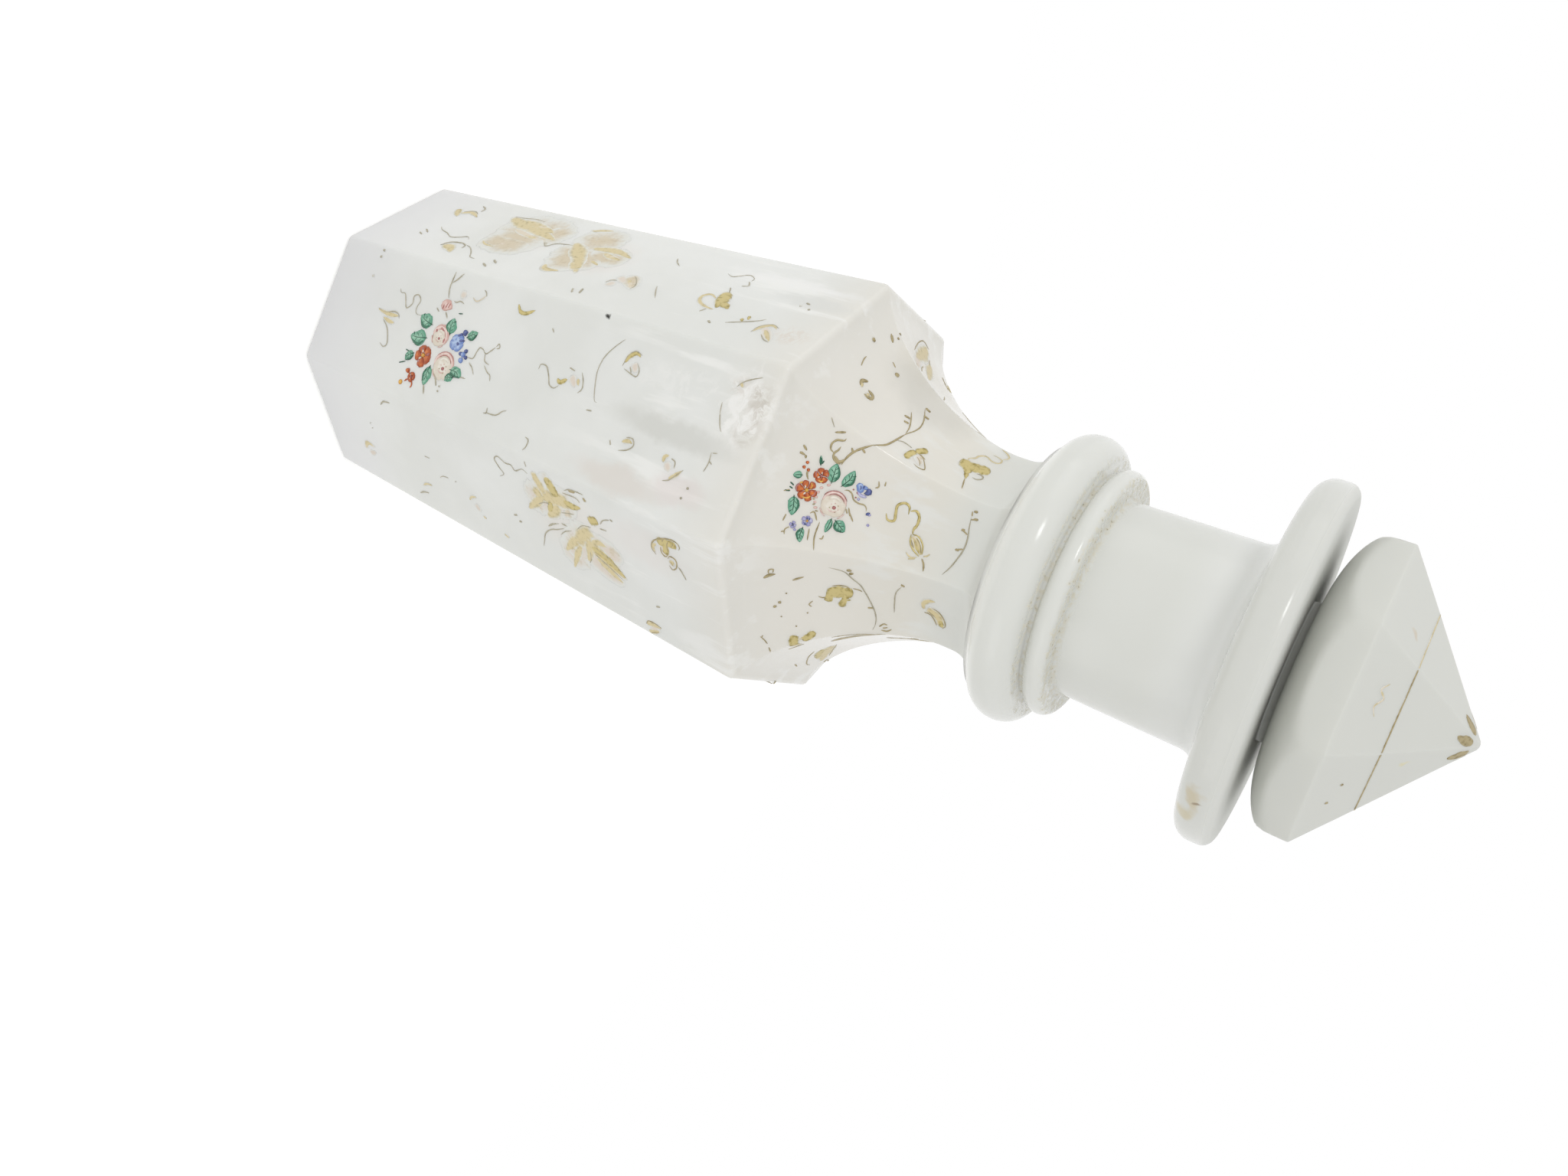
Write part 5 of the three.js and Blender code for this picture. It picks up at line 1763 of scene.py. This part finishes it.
@dataclass
class BottlePattern:
    """The flowers and gilding on the bottle, the same on two opposite sides but painted anew on each."""

    body: CarafeBody
    seed: int = 11

    def build(self) -> None:
        """Paints both sides and the facets between them."""
        for side, turn in (("front", 0.0), ("back", 180.0)):
            painter = Painter(self.body, f"paint_{side}", self.seed + int(turn))
            for facet, sheet in (
                (0, BODY_FRONT), (-45, BODY_UPPER), (45, BODY_LOWER),
                (0, SHOULDER_FRONT), (-45, SHOULDER_UPPER), (45, SHOULDER_LOWER),
                (90, SHOULDER_OTHER_SIDE if turn else SHOULDER_SIDE),
            ):
                painter.lay(facet + turn, sheet)
            self.body_bouquet(painter, turn)
            self.shoulder_bouquet(painter, turn)
            self.scatter(painter, turn + 90)
            painter.finish("bottle")

    def leaves(self, painter: Painter, facet: float, rows: Sequence[tuple[float, ...]]) -> None:
        """Paints green leaves.

        Args:
            painter: The hand that paints.
            facet: Angle of their facet.
            rows: Mark, distance across, direction, length and width of each leaf.
        """
        for mark, across, angle, length, width in rows:
            painter.leaf(self.body.spot(facet, mark, across), angle, length, width)

    def flowers(self, painter: Painter, facet: float, rows: Sequence[tuple]) -> None:
        """Paints open flowers.

        Args:
            painter: The hand that paints.
            facet: Angle of their facet.
            rows: Colour, mark, distance across, size, petals, colour of the heart and turn of each flower.
        """
        for paint, mark, across, *rest in rows:
            painter.flower(paint, self.body.spot(facet, mark, across), *rest)

    def body_bouquet(self, painter: Painter, facet: float) -> None:
        """Paints the large bunch of flowers low on the body.

        Args:
            painter: The hand that paints.
            facet: Angle of its facet.
        """
        self.leaves(painter, facet, (
            (34.2, -2.8, -165, 4.4, 3.5), (33.6, 1.2, 172, 5.0, 3.7), (42.3, -3.4, -95, 3.6, 3.3),
            (48.9, -3.1, -35, 3.2, 2.3), (40.2, 8.4, 92, 4.4, 2.7), (33.1, 5.9, 135, 2.9, 2.3),
            (48.1, 5.7, 10, 3.9, 2.5), (46.7, 7.3, 150, 2.7, 2.0),
        ))
        painter.rose(self.body.spot(facet, 43.9, 5.2), 6.6, -92)
        painter.rose(self.body.spot(facet, 39.9, -0.4), 5.0, -70, (115, 0.3))
        self.flowers(painter, facet, (
            (Paint.ORANGE, 37.1, 4.6, 5.2, 5, Paint.YELLOW, 20),
            (Paint.ORANGE, 36, 9.8, 2.4, 4, Paint.CARMINE, 0),
        ))
        painter.lay(facet, BODY_BOUQUET)

    def shoulder_bouquet(self, painter: Painter, facet: float) -> None:
        """Paints the smaller bunch on the shoulder.

        Args:
            painter: The hand that paints.
            facet: Angle of its facet.
        """
        self.leaves(painter, facet, (
            (134.6, -3.2, -95, 3.8, 2.5), (136.9, -3.3, -70, 3.9, 2.2), (129.9, -0.3, 160, 1.9, 1.5),
            (130.8, 5.2, 75, 3.7, 2.5), (133.5, 9.6, 80, 2.9, 1.7), (136.7, 6.2, 95, 2.9, 1.3),
            (138.5, 5.5, 30, 2.9, 2.4), (132.1, -4.4, -110, 1.9, 0.6),
        ))
        painter.rose(self.body.spot(facet, 136.3, 2.3), 5.6, -95, (84, 0.12))
        self.flowers(painter, facet, (
            (Paint.ORANGE, 131.8, 1.6, 4.1, 6, Paint.YELLOW, 0),
            (Paint.ORANGE, 133, -1.8, 3.1, 5, Paint.CARMINE, 30),
            (Paint.VIOLET, 133.5, 6.8, 2.2, 5, Paint.YELLOW, 50),
            (Paint.VIOLET, 131.8, 8.4, 1.4, 4, Paint.NAVY, 0),
        ))
        painter.lay(facet, SHOULDER_BOUQUET)

    def scatter(self, painter: Painter, facet: float) -> None:
        """Strews small worn leaves, twigs and dots over a facet.

        Args:
            painter: The hand that paints.
            facet: Angle of the facet, which lies between the two sides.
        """
        chance = painter.chance
        painter.vine_leaf(self.body.spot(facet, 52, 2), 200, 12.0, 0.4)
        painter.vine_leaf(self.body.spot(facet, 62, 1), 24, 12.5, 0.35)
        for mark in (13, 24, 76, 88, 99, 111):
            across = chance.uniform(-9, 9)
            angle, size, wear = (chance.uniform(*ends) for ends in ((0, 360), (3.2, 4.6), (0.0, 0.5)))
            painter.curl(self.body.spot(facet, mark, across), angle, size, wear)
            start = self.body.spot(facet, mark + chance.uniform(3, 5), across * -0.7)
            side = chance.choice((-1, 1))
            bends = [side * (0.35 * step * step - 0.9 * step) for step in range(5)]
            bow = [(start.along + 2.4 * step, start.across + bend) for step, bend in enumerate(bends)]
            buds = [(bow[step][0], bow[step][1] + 0.7, chance.uniform(-80, 80)) for step in (1, 3, 4)]
            painter.twig(facet, bow, buds)
            painter.dab(Paint.UMBER, self.body.spot(facet, mark - 4, chance.uniform(-12, 12)), 0.7)


@dataclass
class StopperPattern:
    """The gilding on the stopper: a rosette round the point, an eight-sided line and remnants of sprigs."""

    head: StopperHead
    seed: int = 5
    line_reach: float = 17.2

    def build(self) -> None:
        """Paints the head."""
        painter = Painter(self.head, "paint_stopper", self.seed)
        for facet, paint, wear in (
            (0, "UMBER", 0.2), (45, "UMBER", 0.1), (90, "GOLD", 0.0), (135, "GOLD", 0.1),
            (180, "WORN", 0.4), (-135, "WORN", 0.3), (-90, "FAINT", 0.5), (-45, "UMBER", 0.3),
        ):
            painter.lay(facet, f"{paint} 1.9 LEAF .08 {wear}: 1.9 0, 3.6 .15, 5.6 0;")
            painter.lay(facet, f"UMBER .26 TAPER .1 {wear}: 2.2 .5, 3.8 .85, 5.4 .3;")
        half = self.line_reach * math.tan(HALF_SIDE)
        line = [(self.head.along(self.line_reach), half * share) for share in (-1, -0.5, 0, 0.5, 1)]
        for facet, paint, wear in (
            (0, Paint.UMBER, 0.0), (45, Paint.UMBER, 0.1), (90, Paint.GOLD, 0.0), (135, Paint.GOLD, 0.0),
            (180, Paint.GOLD, 0.2), (-135, Paint.WORN, 0.4), (-90, Paint.FAINT, 0.5), (-45, Paint.WORN, 0.3),
        ):
            painter.stroke(Brush(paint, 0.42, Tip.BRUSH, 0.08, wear), facet, line)
        for facet, sheet in (
            (180, "WORN .5 TAPER .08: 20.4 -4, 21.6 -2.6, 20.6 -1.4, 21.8 .2, 20.8 1.8, 22 3;"),
            (-135, "WORN .6 TAPER .08: 20.6 -3, 21.4 -1, 20.8 1 / 22.4 -1.4, 23 .6;"),
            (-90, "LEAF 1.5 LEAF .14: 21 -3.4, 22.4 -2.2 / 20.8 2, 21.8 3.4;"),
            (-90, "BLUE 1.2 TAPER .12: 22.4 .2 / 21.4 .9; VIOLET .9: 20.4 -.4;"),
            (90, "LEAF 1.5 LEAF .14: 21.4 3, 22.6 4.4 / 20.8 -1.6, 22 -2.8;"),
            (90, "ORANGE 1.3 TAPER .12: 21.8 .6 / 20.8 1.6;"),
            (0, "WORN .5 TAPER .08 .5: 20.6 -3.4, 21.8 -2, 20.8 -.8, 21.8 .8, 21 2.4;"),
            (45, "UMBER .6: 21.4 -1.8 / 22.6 2.2;"),
        ):
            painter.lay(facet, sheet)
        painter.finish("stopper")


def seen(tree: Tree) -> Socket:
    """Tells rays of the camera, of gloss and of clear glass from those that carry light.

    Args:
        tree: The node tree of a material or of the world.

    Returns:
        1 for a ray that sees, and 0 for one that lights.
    """
    path = add_node(tree, "LightPath")
    either = add_node(
        tree, "Math", {0: path["Is Camera Ray"], 1: path["Is Glossy Ray"]}, operation="MAXIMUM",
    )[0]
    return add_node(tree, "Math", {0: either, 1: path["Is Transmission Ray"]}, operation="MAXIMUM")[0]


@dataclass(frozen=True)
class WhiteCard(Finish):
    """Matt white card: it scatters light evenly, and its far part is plain white to the eye."""

    name: str = "white_card_matt"
    albedo: str = "f2f2f0"
    glow: float = 0.35
    fade_start: float = 0.1
    fade_end: float = 0.35

    def surface(self, tree: Tree) -> Socket:
        """Builds the card and its fade, with distances in metres.

        Args:
            tree: The material's node tree.

        Returns:
            The shader's output.
        """
        sight = seen(tree)
        place = add_node(tree, "TexCoord")["Object"]
        away = add_node(tree, "VectorMath", {0: place}, operation="LENGTH")["Value"]
        card = add_node(tree, "BsdfDiffuse", {"Color": linear(self.albedo)})[0]
        lift = add_node(tree, "Math", {0: sight, 1: self.glow}, operation="MULTIPLY")[0]
        glow = add_node(tree, "Emission", {"Strength": lift})[0]
        near = add_node(tree, "AddShader", {0: card, 1: glow})[0]
        white = add_node(tree, "Emission")[0]
        share = where(tree, sight, Limit(away, self.fade_start, self.fade_end))
        return add_node(tree, "MixShader", {0: share, 1: near, 2: white})[0]


@dataclass
class Studio:
    """A white table under soft light, with the camera turned as the photograph was taken.

    Its sizes are metres.
    """

    lens: float = 26.624
    sensor: float = 36.0
    place: Triple = (0.00614, -0.22009, 0.22868)
    right: Triple = (-0.37152, 0.43367, 0.82091)
    up: Triple = (-0.92621, -0.11215, -0.35993)
    target: Triple = (0.0, 0.0, 0.13)
    table_rings: tuple[float, ...] = (0.02, 0.06, 0.12, 0.2, 0.35, 0.6, 0.9, 1.2)
    table_sides: int = 64
    table_top: float = -0.0002
    sky: float = 0.87

    def build(self) -> None:
        """Sets up the view, the table, the lamps and the camera."""
        bpy.context.scene.view_settings.view_transform = "Standard"
        self.build_camera()
        self.build_table()
        self.build_sky()
        self.lamp("key_softbox", (-0.46, -0.74, 0.5), 0.62, 0.13, 0.42)
        self.lamp("upper_softbox", (-0.95, -0.25, 0.1), 0.9, 0.7, 0.5)
        self.lamp("lower_softbox", (0.8, -0.5, 0.0), 0.9, 0.7, 0.6)

    def build_camera(self) -> None:
        """Places the camera, rolled on its side as the phone was."""
        data = bpy.data.cameras.new("camera")
        data.lens = self.lens
        data.sensor_width = self.sensor
        data.clip_start = 0.01
        data.dof.use_dof = False
        camera = bpy.data.objects.new("camera", data)
        bpy.context.scene.collection.objects.link(camera)
        back = Vector(self.right).cross(Vector(self.up))
        turn = Matrix((self.right, self.up, back)).transposed().to_4x4()
        camera.matrix_world = Matrix.Translation(self.place) @ turn
        bpy.context.scene.camera = camera

    def lamp(self, name: str, direction: Triple, distance: float, size: float, power: float) -> None:
        """Hangs a round softbox.

        Args:
            name: Its name.
            direction: Where it hangs, seen from the carafe.
            distance: How far away.
            size: Its diameter.
            power: Its power in watts.
        """
        data = bpy.data.lights.new(name, "AREA")
        data.shape = "DISK"
        data.size = size
        data.energy = power
        lamp = bpy.data.objects.new(name, data)
        bpy.context.scene.collection.objects.link(lamp)
        way = Vector(direction).normalized()
        lamp.location = Vector(self.target) + way * distance
        lamp.rotation_euler = way.to_track_quat("Z", "Y").to_euler()
        lamp.visible_camera = False

    def build_table(self) -> None:
        """Lays the round table top, which fades into the white background."""
        shape = bmesh.new()
        turns = [2 * math.pi * step / self.table_sides for step in range(self.table_sides)]
        rings = [
            [shape.verts.new((radius * math.cos(a), radius * math.sin(a), self.table_top)) for a in turns]
            for radius in self.table_rings
        ]
        shape.faces.new(rings[0])
        for low, high in zip(rings, rings[1:]):
            for near, near_after, far_after, far in ring_faces(low, high):
                shape.faces.new((near, far, far_after, near_after))
        table = finish_mesh("table_top", shape, [WhiteCard()])

    def build_sky(self) -> None:
        """Makes the even light of a white room, which is pure white where it is seen."""
        world = bpy.data.worlds.new("white_room")
        world.use_nodes = True
        tree = world.node_tree
        tree.nodes.clear()
        strength = add_node(tree, "MapRange", {"Value": seen(tree), "To Min": self.sky, "To Max": 1.0})[0]
        white = {"Color": (1, 1, 1, 1), "Strength": strength}
        light = add_node(tree, "Background", white)[0]
        add_node(tree, "OutputWorld", {"Surface": light})
        bpy.context.scene.world = world


def main() -> None:
    """Builds the carafe, its paint and the studio."""
    logging.basicConfig(level=logging.INFO, format="%(message)s")
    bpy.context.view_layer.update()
    Studio().build()
    body = CarafeBody()
    body.build()
    BottlePattern(body).build()
    head = StopperHead()
    head.build()
    StopperPattern(head).build()


if __name__ == "__main__":
    main()
